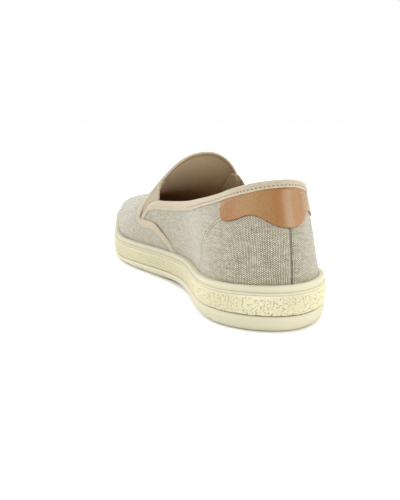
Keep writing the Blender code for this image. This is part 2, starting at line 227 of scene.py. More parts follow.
def ribs():
    """Rib after rib round the shoe from the back seam: roots on the spine, and directions in plan."""
    fan_heel = 270 - 90 * np.linspace(0, 1, HEEL_STEPS + 1) ** 1.4
    fan_toe = np.linspace(180, 0, TOE_STEPS + 1)
    sides = np.linspace(HEEL_CENTRE, TOE_CENTRE, SIDE_STEPS + 2)[1:-1]
    heel, toe = np.full(HEEL_STEPS + 1, HEEL_CENTRE), np.full(TOE_STEPS + 1, TOE_CENTRE)
    along = np.concatenate([heel, sides, toe, sides[::-1], heel])
    inner, outer = np.full(SIDE_STEPS, 180), np.zeros(SIDE_STEPS)
    turns = np.radians(np.concatenate([fan_heel, inner, fan_toe, outer, (540 - fan_heel[::-1]) % 360]))
    roots = np.column_stack([table(LAST, "spine", along), along])
    return roots, np.column_stack([np.cos(turns), np.sin(turns)])


ROOTS, DIRECTIONS = ribs()


def reach(inset):
    """How far each rib runs from the spine to the sole's widest line moved inward by inset."""
    line = EDGE - inset * outward(EDGE)
    span = np.roll(line, -1, axis=0) - line
    found = []
    for root, direction in zip(ROOTS, DIRECTIONS):
        offset = line - root
        cross = direction[0] * span[:, 1] - direction[1] * span[:, 0]
        distance = (offset[:, 0] * span[:, 1] - offset[:, 1] * span[:, 0]) / cross
        share = (offset[:, 0] * direction[1] - offset[:, 1] * direction[0]) / cross
        found.append(distance[(distance > 0) & (share >= 0) & (share < 1)].min())
    return np.array(found)


def toe_share(along):
    """0 up to where the toe spring starts, and 1 at the toe's tip."""
    return np.clip((along - SPRING_START) / (LENGTH - SPRING_START), 0, 1)


def ground(along):
    """The height of the outsole's underside: raised a little at the waist and curving up at the toe."""
    waist = np.clip((along - ARCH_FROM) / (ARCH_TO - ARCH_FROM), 0, 1)
    return ARCH_RISE * np.sin(math.pi * waist) ** 2 + TOE_SPRING * toe_share(along) ** 2


def level(name, along):
    """The height of one of the sole's levels, with the toe spring."""
    return table(LEVELS, name, along) + TOE_SPRING * toe_share(along) ** 2


UPPER_REACH = reach(LIP_THICKNESS + GAP)
FOOT = ROOTS + DIRECTIONS * UPPER_REACH[:, None]  # where the upper meets the rim, in plan
WALK = path_lengths(FOOT)  # distance round from the back, inner side first
AROUND = np.where(WALK > WALK[-1] / 2, WALK - WALK[-1], WALK)  # the same, negative on the outer side
ROWS = 96
HIDDEN_ROWS = 4  # rows of canvas that run down behind the rim, past the footbed's edge
TOP_ROW = ROWS + HIDDEN_ROWS
HIDDEN_STEP = 2.7  # how far each of them runs down
JOINT_WIDTH, JOINT_PASSES = 16, 120  # ribs smoothed to each side of a fan's end, and how often


def skin():
    """The last's surface as columns (ribs) of rows, evenly spaced up each rib, hidden rows first."""
    turn = np.linspace(0, math.pi / 2, 500)[None, :]
    along = FOOT[:, 1]
    start = level("lip", along)[:, None]
    outer = (1 + DIRECTIONS[:, 0]) / 2

    def both_sides(name):
        inner_share, outer_share = table(LAST, name + "_inner", along), table(LAST, name + "_outer", along)
        return (inner_share * (1 - outer) + outer_share * outer)[:, None]

    square, swell = both_sides("square"), both_sides("swell")
    cosine, sine = np.maximum(np.cos(turn), 0), np.sin(turn)
    far = UPPER_REACH[:, None] * cosine ** (2 / square) + swell * np.sin(2 * turn) * cosine
    plan = ROOTS[:, None] + DIRECTIONS[:, None] * far[..., None]
    crown = table(LAST, "crown", plan[..., 1].ravel()).reshape(far.shape)
    dense = np.dstack([plan, start + (crown - start) * sine ** (2 / square)])
    grid = np.empty((len(dense), TOP_ROW + 1, 3))
    for column, line in zip(grid, dense):
        lengths = path_lengths(line)
        at = np.linspace(0, lengths[-1], ROWS + 1)
        for axis in range(3):
            column[HIDDEN_ROWS:, axis] = np.interp(at, lengths, line[:, axis])
    # The fans of ribs at heel and toe join the sides without a crease
    joints = np.array([HEEL_STEPS, HEEL_STEPS + SIDE_STEPS, HEEL_STEPS + SIDE_STEPS + TOE_STEPS])
    joints = np.append(joints, len(grid) - 1 - HEEL_STEPS)
    near = hump(np.arange(len(grid))[:, None] - joints, JOINT_WIDTH).max(1)
    weight = 0.5 * near[:, None, None] * ease(0, 0.15, np.linspace(0, 1, ROWS + 1))[None, :, None]
    weight[[0, -1]] = 0
    for _ in range(JOINT_PASSES):
        part = grid[:, HIDDEN_ROWS:]
        mean = part.copy()
        mean[1:-1] = (part[:-2] + part[2:]) / 2
        part += weight * (mean - part)
    for row in range(HIDDEN_ROWS):
        grid[:, row] = grid[:, HIDDEN_ROWS] - [0, 0, HIDDEN_STEP * (HIDDEN_ROWS - row)]
    return grid


SKIN = skin()
COLUMNS = len(SKIN)
ALONG, HEIGHT = SKIN[..., 1], SKIN[..., 2]
SKIN_ACROSS, SKIN_UP = np.gradient(SKIN, axis=0), np.gradient(SKIN, axis=1)
SKIN_ACROSS[[0, -1]] = (SKIN[1] - SKIN[-2]) / 2  # the first and last columns both stand at the back seam
SKIN_NORMAL = unit(np.cross(SKIN_UP, SKIN_ACROSS))
SKIN_NORMAL[:, : HIDDEN_ROWS + 1] = SKIN_NORMAL[:, HIDDEN_ROWS + 1 : HIDDEN_ROWS + 2]
SKIN_NORMAL[:, -1] = unit(SKIN_NORMAL[:, -2] + SKIN_NORMAL[::-1, -2])
for centre in (HEEL_CENTRE, TOE_CENTRE):
    fan = ROOTS[:, 1] == centre
    SKIN_NORMAL[fan, -1] = unit(SKIN_NORMAL[fan, -2].mean(0))
RISE = np.stack([path_lengths(column) for column in SKIN])  # distance up each column


def sampled(grid, column, row):
    """The grid's value at fractional columns and rows. Columns wrap at the back seam."""
    column = np.mod(column, COLUMNS - 1)
    row = np.clip(row, 0, TOP_ROW - 1e-6)
    i, j = column.astype(int), row.astype(int)
    a, b = column - i, row - j
    if grid.ndim == 3:
        a, b = a[:, None], b[:, None]
    low = grid[i, j] * (1 - a) + grid[i + 1, j] * a
    high = grid[i, j + 1] * (1 - a) + grid[i + 1, j + 1] * a
    return low * (1 - b) + high * b


def row_at_height(column, height):
    """The fractional row where each column of the skin has the height given."""
    column = np.mod(column, COLUMNS - 1)
    i = column.astype(int)
    share = (column - i)[:, None]
    heights = HEIGHT[i] * (1 - share) + HEIGHT[i + 1] * share
    above = heights[:, HIDDEN_ROWS:] >= np.asarray(height)[:, None]
    top = np.clip(np.argmax(above, axis=1) + HIDDEN_ROWS, 1, TOP_ROW)
    rows = np.arange(len(top))
    low, high = heights[rows, top - 1], heights[rows, top]
    return top - 1 + np.clip((height - low) / np.maximum(high - low, 1e-6), 0, 1)


def on_skin(column, row):
    """Points and normals of the skin at fractional columns and rows."""
    return sampled(SKIN, column, row), unit(sampled(SKIN_NORMAL, column, row))


def column_round(around):
    """The fractional column at a distance round from the back seam, negative on the outer side."""
    return np.interp(np.mod(around, WALK[-1]), WALK, np.arange(COLUMNS))


def zero_rows(values, columns):
    """For each whole column, the fractional row where values first turn positive going up."""
    line = values[columns]
    top = np.clip(np.argmax(line > 0, axis=1), 1, None)
    rows = np.arange(len(columns))
    low, high = line[rows, top - 1], line[rows, top]
    return top - 1 + np.clip(-low / np.maximum(high - low, 1e-9), 0, 1)


# ---------------------------------------------------------------- the cloth pieces' outlines from the side


def edge_line(rows, samples):
    """Points (along, height) of an edge, spread evenly in the first column of its table."""
    (key, ends), (other, _) = rows.items()
    at = np.linspace(ends[0], ends[-1], samples)
    read = {key: at, other: table(rows, other, at, key)}
    return list(zip(read["along"], read["height"]))


def nose_line():
    """Round the quarter's front corner, from the end of the collar down to the notch."""
    knots = np.array([(COLLAR["along"][-1], COLLAR["height"][-1]), *QUARTER_NOSE, NOTCH])
    lengths = path_lengths(knots)
    return [tuple(p) for p in spline(lengths, knots, np.linspace(0, lengths[-1], 24))][1:]


def inside_distance(polygon):
    """Distance to a polygon's edge at each point of the skin seen from the side, positive inside."""
    corners = np.array(polygon, float)
    spots = SKIN[..., None, 1:]
    start, end = corners, np.roll(corners, -1, axis=0)
    span = end - start
    offset = spots - start
    share = np.clip((offset * span).sum(-1) / np.maximum((span**2).sum(-1), 1e-9), 0, 1)
    distance = np.sqrt(((offset - share[..., None] * span) ** 2).sum(-1)).min(-1)
    crosses = (start[:, 1] > spots[..., 1]) != (end[:, 1] > spots[..., 1])
    rise = np.where(span[:, 1] == 0, 1e-9, span[:, 1])
    at = start[:, 0] + (spots[..., 1] - start[:, 1]) / rise * span[:, 0]
    inside = (crosses & (spots[..., 0] < at)).sum(-1) % 2 == 1
    return np.where(inside, distance, -distance)


COLLAR_LINE, LAP_LINE, VAMP_LINE = edge_line(COLLAR, 60), edge_line(LAP, 40), edge_line(VAMP_EDGE, 50)
NOSE_LINE = nose_line()
BEHIND, AHEAD, ABOVE = -30, 330, 160  # places clear of the shoe, for closing the outlines
OVER_THROAT = (VAMP_EDGE["along"][-1], ABOVE)
QUARTER_FRONT, VAMP_BACK = 178, 112  # how far along the two pieces' columns of the skin reach
BINDING_END = (166.5, 37.5)  # the collar's binding ends here, behind the vamp
QUARTER = COLLAR_LINE + NOSE_LINE + [(172, 33), (176, 0), (BEHIND, 0), (BEHIND, 90)]
VAMP = LAP_LINE + VAMP_LINE + [OVER_THROAT, (AHEAD, ABOVE), (AHEAD, 0), (117, 0)]
OPENING = COLLAR_LINE + NOSE_LINE + VAMP_LINE + [OVER_THROAT, (BEHIND, ABOVE), (BEHIND, 90)]


def lapped(points):
    """1 where the vamp lies over the quarter, and 0 well ahead of the lap and above the notch."""
    return ease(*LAP_FADES, points[..., 1]) * ease(58, 46, points[..., 2])


def lap_lift(points):
    """How far the vamp stands out where it lies over the quarter: most at the lap's bend."""
    return lapped(points) * (1 - 0.45 * lap_foot(points) + 0.5 * hump(points[..., 1] - LAP_BEND, 5.5))


def lap_foot(points):
    """1 at the lap's lower end, where the rim presses it flat, and 0 further up."""
    return ease(134, 123, points[..., 1])


# ---------------------------------------------------------------- meshes


def add_object(name, data):
    """A new object in the scene."""
    made = bpy.data.objects.new(name, data)
    bpy.context.scene.collection.objects.link(made)
    return made


def new_mesh(name, points, faces):
    """A mesh from points in millimetres in the tables' frame."""
    data = bpy.data.meshes.new(name)
    points = (np.asarray(points, float) - SHIFT) * MM
    data.from_pydata(points.tolist(), [], [list(map(int, face)) for face in faces])
    return data


def new_object(name, points, faces, finish, fields=None):
    """A smooth mesh piece with named numbers at its points."""
    data = new_mesh(name, points, faces)
    for field, values in (fields or {}).items():
        values = np.asarray(values, np.float32)
        kind, key = ("FLOAT", "value") if values.ndim == 1 else ("FLOAT_VECTOR", "vector")
        data.attributes.new(field, kind, "POINT").data.foreach_set(key, values.ravel())
    data.materials.append(finish)
    data.shade_smooth()
    piece = add_object(name, data)
    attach(piece, "root")
    return piece


def grid_faces(columns, rows, round_columns=False, round_rows=False):
    """Quads of a grid whose points are numbered column by column."""
    i = np.arange(columns if round_columns else columns - 1)[:, None]
    j = np.arange(rows if round_rows else rows - 1)[None, :]
    i2, j2 = (i + 1) % columns, (j + 1) % rows
    quads = np.stack([i * rows + j, i2 * rows + j, i2 * rows + j2, i * rows + j2], -1)
    return quads.reshape(-1, 4)


def cut_grid(keep):
    """The part of a grid where keep is positive: for each point two grid points and a share, and faces."""
    rows = keep.shape[1]
    ends, index, faces = [], {}, []

    def point(a, b, share):
        if (a, b) not in index:
            index[a, b] = len(ends)
            ends.append((a, b, share))
        return index[a, b]

    whole = keep > 0
    some = whole[:-1, :-1] | whole[1:, :-1] | whole[:-1, 1:] | whole[1:, 1:]
    for i, j in zip(*np.nonzero(some)):
        ring = ((i, j), (i + 1, j), (i + 1, j + 1), (i, j + 1))
        face = []
        for here, there in zip(ring, ring[1:] + ring[:1]):
            a, b = here[0] * rows + here[1], there[0] * rows + there[1]
            if whole[here]:
                face.append(point(a, a, 0.0))
            if whole[here] != whole[there]:
                low, high = (a, b) if a < b else (b, a)
                low_value, high_value = keep.flat[low], keep.flat[high]
                face.append(point(low, high, low_value / (low_value - high_value)))
        if len(face) > 2:
            faces.append(face)
    ends = np.array(ends)
    return ends[:, 0].astype(int), ends[:, 1].astype(int), ends[:, 2], faces


def cut_shell(name, columns, keep, lift, cloth, thickness, finish, shade=0):
    """A cloth piece: the skin's columns where keep is positive, lifted along its normals and made thick."""
    base = SKIN + SKIN_NORMAL * np.broadcast_to(lift, keep.shape)[..., None]
    a, b, share, faces = cut_grid(keep[columns])

    def mixed(values):
        flat = values[columns].reshape(len(columns) * keep.shape[1], -1)
        return flat[a] * (1 - share[:, None]) + flat[b] * share[:, None]

    fields = {"cloth": mixed(cloth), "shade": mixed(np.broadcast_to(shade, keep.shape))[:, 0]}
    piece = new_object(name, mixed(base), [face[::-1] for face in faces], finish, fields)
    mend(piece, turn=False)
    shell = piece.modifiers.new("thickness", "SOLIDIFY")
    shell.thickness = thickness * MM
    shell.offset = -1
    shell.use_even_offset = False
    return piece


def closed_profile(name, rings, finish, fields=None, round_columns=True, round_rows=True):
    """A band from rings, an array of columns by profile points by 3. An open run of columns gets end caps."""
    rings = np.asarray(rings, float)
    columns, rows = rings.shape[:2]
    faces = [list(f) for f in grid_faces(columns, rows, round_columns, round_rows)]
    if not round_columns and round_rows:
        faces += [list(range(rows))[::-1], list(range((columns - 1) * rows, columns * rows))]
    fields = {key: np.reshape(value, (columns * rows, -1)).squeeze() for key, value in (fields or {}).items()}
    piece = new_object(name, rings.reshape(-1, 3), faces, finish, fields)
    mend(piece, join=False)
    return piece


def mend(piece, join=True, turn=True):
    """Joins points that coincide, and turns the faces outward."""
    mesh = bmesh.new()
    mesh.from_mesh(piece.data)
    if join:
        bmesh.ops.remove_doubles(mesh, verts=mesh.verts, dist=1e-6)
        bmesh.ops.dissolve_degenerate(mesh, edges=mesh.edges, dist=1e-6)
    if turn:
        bmesh.ops.recalc_face_normals(mesh, faces=mesh.faces)
    mesh.to_mesh(piece.data)
    mesh.free()


# ---------------------------------------------------------------- paths on the skin

MARCH_STEP = 0.8  # the longest stride across the skin


def marched(path, depths, toward, scale):
    """Points and normals at each depth from a path into the cloth, and the way in.

    The way in is to toward's side of the path. The depths follow the skin, and scale narrows them.
    """
    column, row = path.T
    points, normals = on_skin(column, row)
    inward = unit(np.cross(normals, unit(np.gradient(points, axis=0))))
    inward = inward * np.sign((inward @ np.array(toward, float)).sum())
    found = {0.0: (points, normals)}
    here = 0.0
    for depth in sorted(d for d in depths if d > 0):
        strides = max(1, int(math.ceil((depth - here) / MARCH_STEP)))
        for _ in range(strides):
            across, up = sampled(SKIN_ACROSS, column, row), sampled(SKIN_UP, column, row)
            normal = unit(np.cross(up, across))
            step = inward - normal * (inward * normal).sum(-1, keepdims=True)
            step = unit(step) * np.reshape(scale, (-1, 1)) * (depth - here) / strides
            aa, uu, au = (across**2).sum(-1), (up**2).sum(-1), (across * up).sum(-1)
            sa, su = (step * across).sum(-1), (step * up).sum(-1)
            det = np.maximum(aa * uu - au**2, 1e-9)
            column = column + (sa * uu - su * au) / det
            row = np.clip(row + (su * aa - sa * au) / det, 0, TOP_ROW)
        here = depth
        found[depth] = on_skin(column, row)
    return found, inward


def resampled(path, step, smooth=0):
    """A path of (column, row) with its points spread evenly in space."""
    for _ in range(smooth):
        path[1:-1] = path[1:-1] * 0.5 + (path[:-2] + path[2:]) * 0.25
    lengths = path_lengths(sampled(SKIN, *path.T))
    at = np.linspace(0, lengths[-1], int(lengths[-1] / step) + 1)
    return np.column_stack([np.interp(at, lengths, column) for column in path.T])


def side_columns(side, along):
    """The fractional column on a side (-1 inner, 1 outer) whose rib stands at a distance along the shoe."""
    inner = np.arange(HEEL_STEPS, HEEL_STEPS + SIDE_STEPS + 2)
    found = np.interp(along, ROOTS[inner, 1], inner)
    return found if side < 0 else COLUMNS - 1 - found


def on_side(side, along, height):
    """(column, row) on the skin for points seen from the side, between the fans of ribs."""
    column = side_columns(side, np.asarray(along, float))
    return np.column_stack([column, row_at_height(column, np.asarray(height, float))])


def collar_rim():
    """(column, row) of the collar from its outer front corner to its inner one, with outer ones negative."""
    front = int(side_columns(-1, COLLAR["along"][-1]))
    columns = np.arange(-front, front + 1)
    along = np.clip(ALONG, COLLAR["along"][0], COLLAR["along"][-1])
    over = HEIGHT - table(COLLAR, "height", along.ravel()).reshape(HEIGHT.shape)
    return np.column_stack([columns, zero_rows(over, columns % (COLUMNS - 1))])


def collar_path():
    """Round the collar from the outer notch past the heel to the inner notch, with columns running on."""
    nose = np.array(NOSE_LINE + [BINDING_END])
    inner_nose = on_side(-1, *nose.T)
    outer_nose = on_side(1, *nose[::-1].T) - [COLUMNS - 1, 0]
    return np.vstack([outer_nose, collar_rim(), inner_nose])


def vamp_path():
    """The vamp's edge on each side, inner first: up the lap, past the notch and over the throat."""
    sides = []
    for side in (-1, 1):
        notch_row = on_side(side, NOTCH[:1], NOTCH[1:])[0, 1]
        columns = side_columns(side, np.linspace(180, 125, 120))  # from ahead of the edge to behind it
        path = []
        for row in np.append(np.arange(math.ceil(notch_row), TOP_ROW, 1.0), TOP_ROW - 0.001):
            line = sampled(SKIN, columns, np.full(len(columns), row))
            height = np.clip(line[:, 2], VAMP_EDGE["height"][0], VAMP_EDGE["height"][-1])
            ahead = line[:, 1] - table(VAMP_EDGE, "along", height, "height")
            k = int(np.argmax(ahead < 0))
            share = ahead[k - 1] / (ahead[k - 1] - ahead[k])
            path.append((columns[k - 1] * (1 - share) + columns[k] * share, row))
        sides.append(np.vstack([on_side(side, *np.array(LAP_LINE).T), path]))
    return sides


# ---------------------------------------------------------------- materials


def linear(red, green, blue):
    """A colour from 0 to 255 values as shown on a screen."""
    return tuple(((c / 255 + 0.055) / 1.055) ** 2.4 if c > 10 else c / 3294.6 for c in (red, green, blue))


class Field:
    """A number that Math nodes work out at every point of a surface."""

    def __init__(self, tree, socket):
        self.tree, self.socket = tree, socket

    def math(self, operation, *others):
        """The outcome of an operation on this number and any others."""
        node = self.tree.nodes.new("ShaderNodeMath")
        node.operation = operation
        for slot, value in zip(node.inputs, (self, *others)):
            if isinstance(value, Field):
                self.tree.links.new(value.socket, slot)
            else:
                slot.default_value = value
        return Field(self.tree, node.outputs[0])

    def __add__(self, other):
        return self.math("ADD", other)

    def __sub__(self, other):
        return self.math("SUBTRACT", other)

    def __mul__(self, other):
        return self.math("MULTIPLY", other)

    def __truediv__(self, other):
        return self.math("DIVIDE", other)

    def ramp(self, low, high):
        """0 where this number is low, 1 where it's high, and smooth between."""
        node = self.tree.nodes.new("ShaderNodeMapRange")
        node.interpolation_type = "SMOOTHSTEP"
        self.tree.links.new(self.socket, node.inputs[0])
        for slot, value in zip(node.inputs[1:5], (low, high, 0.0, 1.0)):
            slot.default_value = value
        return Field(self.tree, node.outputs[0])


class Finish:
    """A Principled material with helpers for its pattern nodes."""

    def __init__(self, name, roughness=0.8, specular=0.3, sheen=0.0):
        self.made = bpy.data.materials.new(name)
        self.made.use_nodes = True
        self.tree = self.made.node_tree
        self.shader = self.tree.nodes["Principled BSDF"]
        self.shader.inputs["Roughness"].default_value = roughness
        self.shader.inputs["Specular IOR Level"].default_value = specular
        self.shader.inputs["Sheen Weight"].default_value = sheen
        self.shader.inputs["Sheen Roughness"].default_value = 0.5

    def node(self, kind, links, **values):
        """A new node, with sockets linked to some of its inputs and plain values in others."""
        node = self.tree.nodes.new("ShaderNode" + kind)
        for name, socket in links.items():
            self.tree.links.new(socket, node.inputs[name])
        for name, value in values.items():
            node.inputs[name].default_value = value
        return node

    def attribute(self, name, output):
        """The numbers that a mesh carries at its points under a name."""
        node = self.node("Attribute", {})
        node.attribute_name = name
        return node.outputs[output]

    def number(self, name):
        """One of the mesh's own numbers."""
        return Field(self.tree, self.attribute(name, "Fac"))

    def cloth(self):
        """The cloth coordinates in mm, as two numbers and as a vector."""
        vector = self.attribute("cloth", "Vector")
        split = self.node("SeparateXYZ", {0: vector})
        return Field(self.tree, split.outputs[0]), Field(self.tree, split.outputs[1]), vector

    def place(self):
        """The place on the shoe, in metres."""
        return self.node("TexCoord", {}).outputs["Object"]

    def noise(self, vector, scale, detail=2.0, stretch=(1, 1, 1)):
        mapping = self.node("Mapping", {0: vector}, Scale=stretch)
        node = self.node("TexNoise", {"Vector": mapping.outputs[0]}, Scale=scale, Detail=detail)
        return Field(self.tree, node.outputs["Fac"])

    def cells(self, vector, scale):
        return Field(self.tree, self.node("TexVoronoi", {"Vector": vector}, Scale=scale).outputs["Distance"])

    def joined(self, first, second):
        """A vector of two numbers."""
        return self.node("CombineXYZ", {0: first.socket, 1: second.socket}).outputs[0]

    def random(self, column, row):
        """A number of its own for each whole column and row."""
        node = self.node("TexWhiteNoise", {})
        node.noise_dimensions = "2D"
        self.tree.links.new(self.joined(column + 0.5, row + 0.5), node.inputs["Vector"])
        return Field(self.tree, node.outputs["Value"])

    def thread(self, number, run, length):
        """A tone from 0 to 1 for each numbered thread, which drifts along the thread's run."""
        return self.noise(self.joined(number * 7.31, run / length), 1.0, 1.0).ramp(0.3, 0.7)

    def mix(self, factor, first, second):
        """A colour between two others, each a socket or screen values. It is first where factor is 0."""
        node = self.node("Mix", {})
        node.data_type = "RGBA"
        self.tree.links.new(factor.socket, node.inputs["Factor"])
        for slot, colour in ((node.inputs[6], first), (node.inputs[7], second)):
            if isinstance(colour, tuple):
                slot.default_value = (*linear(*colour), 1)
            else:
                self.tree.links.new(colour, slot)
        return node.outputs[2]

    def colour(self, socket):
        self.tree.links.new(socket, self.shader.inputs["Base Color"])

    def roughness(self, field):
        self.tree.links.new(field.socket, self.shader.inputs["Roughness"])

    def bump(self, height, distance, strength):
        """Relief that only the light shows, distance mm high."""
        node = self.node("Bump", {"Height": height.socket}, Strength=strength, Distance=distance * MM)
        self.tree.links.new(node.outputs[0], self.shader.inputs["Normal"])


def weave(finish, across, along, warp, weft):
    """Plain weave of threads warp and weft wide.

    Gives the height, each crossing's own number, where the warp is on top, and the threads' column and row.
    """
    u, v = across / warp, along / weft
    column, row = u.math("FLOOR"), v.math("FLOOR")
    warp_top = ((v + column - 0.5) * math.pi).math("COSINE") * 0.5 + 0.5
    weft_top = ((u + row - 0.5) * math.pi).math("COSINE") * -0.5 + 0.5
    warp_height = ((u - column) * math.pi).math("SINE") * (warp_top * 0.75 + 0.25)
    weft_height = ((v - row) * math.pi).math("SINE") * (weft_top * 0.75 + 0.25)
    height = warp_height.math("MAXIMUM", weft_height)
    on_warp = (warp_height - weft_height).ramp(-0.12, 0.12)
    return height, finish.random(column, row), on_warp, column, row


def canvas_finish():
    """Undyed linen canvas: pale warp over darker weft, each thread's tone drifting, and painted shade in the
    gaps.
    """
    finish = Finish("linen canvas", roughness=0.92, specular=0.15, sheen=0.45)
    u, v, cloth = finish.cloth()
    wobble = finish.noise(cloth, 0.12, 1.0) * 1.2
    height, tone, on_warp, column, row = weave(finish, u + wobble, v + wobble, WARP, WEFT)
    thick_warp = finish.noise(cloth, 1.0, 1.0, (0.55, 0.14, 1)).ramp(0.35, 0.65)
    thick_weft = finish.noise(cloth, 1.0, 1.0, (0.12, 0.6, 1)).ramp(0.35, 0.65)
    drift = thick_warp * 0.06 + thick_weft * 0.16
    warp_tone = tone * 0.42 + finish.thread(column, v, 4.0) * 0.13 + drift
    weft_tone = tone * 0.3 + finish.thread(row, u, 11.0) * 0.38 + drift
    pale = finish.mix(warp_tone, (173, 166, 143), (247, 243, 225))
    deep = finish.mix(weft_tone, (84, 76, 55), (166, 157, 133))
    woven = finish.mix(on_warp, deep, pale)
    # painted shade in the gaps between threads
    base = finish.mix(height.ramp(0.15, 0.75), (74, 66, 45), woven)
    # shade: the quarters' seam line drawn darker, and painted shade on the vamp just above the rim
    finish.colour(finish.mix(finish.number("shade"), base, (70, 58, 42)))
    finish.bump(height + tone * 0.3, 0.2, 0.8)
    return finish.made


def lining_finish():
    """Fine cotton, painted lighter and warmer low down, as light bounced from the footbed."""
    finish = Finish("cotton lining", roughness=0.95, specular=0.1, sheen=0.15)
    u, v, cloth = finish.cloth()
    height, tone, *_ = weave(finish, u, v, 0.8, 0.7)
    body = (height * 0.5 + tone * 0.2 + finish.noise(cloth, 0.15, 2.0) * 0.4).ramp(0.1, 0.95)
    cotton = finish.mix(body, (163, 149, 114), (187, 173, 138))
    # shade here is painted light: warm light bounced from the footbed
    finish.colour(finish.mix(finish.number("shade"), cotton, (226, 190, 150)))
    finish.bump(height, 0.08, 0.5)
    return finish.made


def ribbed(run, pitch):
    """0 between ribs and 1 on top of them, pitch mm apart along run."""
    return (run * (math.pi / pitch)).math("SINE").math("ABSOLUTE")


def tape_finish():
    """Blush grosgrain tape: fine ribs across it, and needle holes that show where it's sewn hard."""
    finish = Finish("grosgrain tape", roughness=0.8, specular=0.25, sheen=0.2)
    u, v, cloth = finish.cloth()
    rib = ribbed(u, 0.55)
    fibre = finish.noise(cloth, 1.6, 2.0, (1, 0.35, 1))
    hole_u = ((u / STITCH_PITCH).math("FRACT") - 0.5).math("ABSOLUTE") * STITCH_PITCH
    hole_v = (v - (TAPE_WIDTH - STITCH_INSET)).math("ABSOLUTE")
    hole = (hole_u * hole_u + hole_v * hole_v).math("SQRT").ramp(0.58, 0.3) * finish.number("sewn")
    body = (rib * 0.45 + fibre * 0.75 + finish.noise(cloth, 0.08, 2.0) * 0.4).ramp(0.2, 1.25)
    outside = finish.mix(body, (152, 139, 118), (188, 176, 154))
    lip = v.ramp(TAPE_WIDTH - STITCH_INSET, TAPE_WIDTH) * finish.number("sewn")
    outside = finish.mix(lip * 0.5, outside, (211, 191, 165))
    # painted shade on the binding's leg inside the shoe
    tape = finish.mix(v.ramp(-7.6, -8.6), outside, (138, 118, 88))
    finish.colour(finish.mix(hole, tape, (108, 90, 68)))
    finish.bump(rib * 0.6 + fibre * 0.5 - hole * 2.5, 0.22, 0.8)
    return finish.made


def thread_finish(name, light, dark):
    """Twisted cotton thread."""
    finish = Finish(name, roughness=0.75, specular=0.3, sheen=0.2)
    twist = finish.noise(finish.place(), 900.0, 1.0)
    finish.colour(finish.mix(twist, dark, light))
    finish.bump(twist, 0.08, 0.5)
    return finish.made


def leather_finish():
    """Smooth tan leather: fine pores, soft mottling, darker cut edges, painted shade and painted dark
    reflection bands.
    """
    finish = Finish("tan leather", roughness=0.33, specular=0.5)
    place = finish.place()
    pores = finish.noise(place, 1700.0, 2.0)
    grain = finish.noise(place, 620.0, 3.0)
    cloud = finish.noise(place, 55.0, 3.0)
    body = (cloud * 0.7 + grain * 0.35).ramp(0.2, 0.9)
    tan = finish.mix(body, (136, 99, 54), (150, 112, 65))
    # painted dark reflection bands, where the leather reflects less light
    tan = finish.mix(finish.number("painted_dark_reflection") * 0.82, tan, (141, 91, 39))
    # darker cut edges, and painted shade under the binding's edge and towards the ends
    finish.colour(finish.mix(finish.number("shade"), tan, (92, 54, 26)))
    finish.roughness(grain * 0.12 + 0.22)
    finish.bump(pores * 0.4 + grain * 0.6, 0.014, 0.25)
    return finish.made


def rubber_finish():
    """Cream rubber, faintly clouded and speckled, and painted darker on the sole's inner side as shade."""
    finish = Finish("cream rubber", roughness=0.55, specular=0.2)
    place = finish.place()
    cloud = finish.noise(place, 24.0, 3.0)
    speck = finish.noise(place, 1500.0, 2.0)
    rubber = finish.mix((cloud * 0.8 + speck * 0.2).ramp(0.3, 0.8), (193, 188, 163), (201, 196, 172))
    # shade: painted shade on the sole's inner side
    finish.colour(finish.mix(finish.number("shade"), rubber, (180, 175, 150)))
    finish.roughness(speck * 0.2 + 0.5)
    finish.bump(speck + cloud * 0.5, 0.06, 0.4)
    return finish.made


def braid_finish():
    """Cream plait: fibrous lumps with deeper valleys painted darker as shade, and painted shade on the inner
    side.
    """
    finish = Finish("cream plait", roughness=0.75, specular=0.25)
    fibre = finish.noise(finish.attribute("cloth", "Vector"), 1.4, 3.0, (0.5, 1.6, 1))
    cloud = finish.noise(finish.place(), 30.0, 2.0)
    # painted shade in the valleys between lumps
    valley_shade = (finish.number("relief") + fibre * 0.2 - 0.1).ramp(0.0, 0.5)
    crest = finish.mix((cloud * 0.6 + fibre * 0.4).ramp(0.3, 0.7), (198, 191, 159), (216, 210, 180))
    plait = finish.mix(valley_shade, (178, 170, 136), crest)
    # painted shade on the sole's inner side
    finish.colour(finish.mix(finish.number("shade") * 0.7, plait, (178, 171, 142)))
    finish.bump(fibre, 0.2, 0.6)
    return finish.made


def elastic_finish(name, light, dark):
    """Elastic with ribs up it and finer ones across."""
    finish = Finish(name, roughness=0.85, specular=0.2, sheen=0.2)
    u, v, cloth = finish.cloth()
    rib, cross = ribbed(u, 0.9), ribbed(v, 0.5)
    body = (rib * 0.6 + cross * 0.25 + finish.noise(cloth, 0.5, 2.0) * 0.3).ramp(0.1, 1.1)
    finish.colour(finish.mix(body, dark, light))
    finish.bump(rib + cross * 0.3, 0.25, 0.7)
    return finish.made


def insole_finish():
    """Brown grained leather."""
    finish = Finish("footbed leather", roughness=0.7, specular=0.25)
    place = finish.place()
    grain = finish.noise(place, 420.0, 3.0)
    cloud = finish.noise(place, 26.0, 3.0)
    finish.colour(finish.mix((cloud * 0.7 + grain * 0.3).ramp(0.3, 0.75), (182, 122, 84), (220, 168, 126)))
    finish.bump(grain + finish.cells(place, 700.0) * 0.6, 0.1, 0.6)
    return finish.made


CANVAS = canvas_finish()
LINING = lining_finish()
TAPE = tape_finish()
TAPE_THREAD = thread_finish("tape thread", (196, 183, 160), (168, 155, 132))
ARC_THREAD = thread_finish("canvas thread", (206, 200, 179), (174, 166, 144))
LEATHER = leather_finish()
RUBBER = rubber_finish()
BRAID = braid_finish()
ELASTIC = elastic_finish("ribbed elastic", (172, 161, 137), (132, 121, 94))
ELASTIC_INSIDE = elastic_finish("elastic backing", (194, 182, 148), (140, 126, 94))
INSOLE = insole_finish()


# ---------------------------------------------------------------- the sole

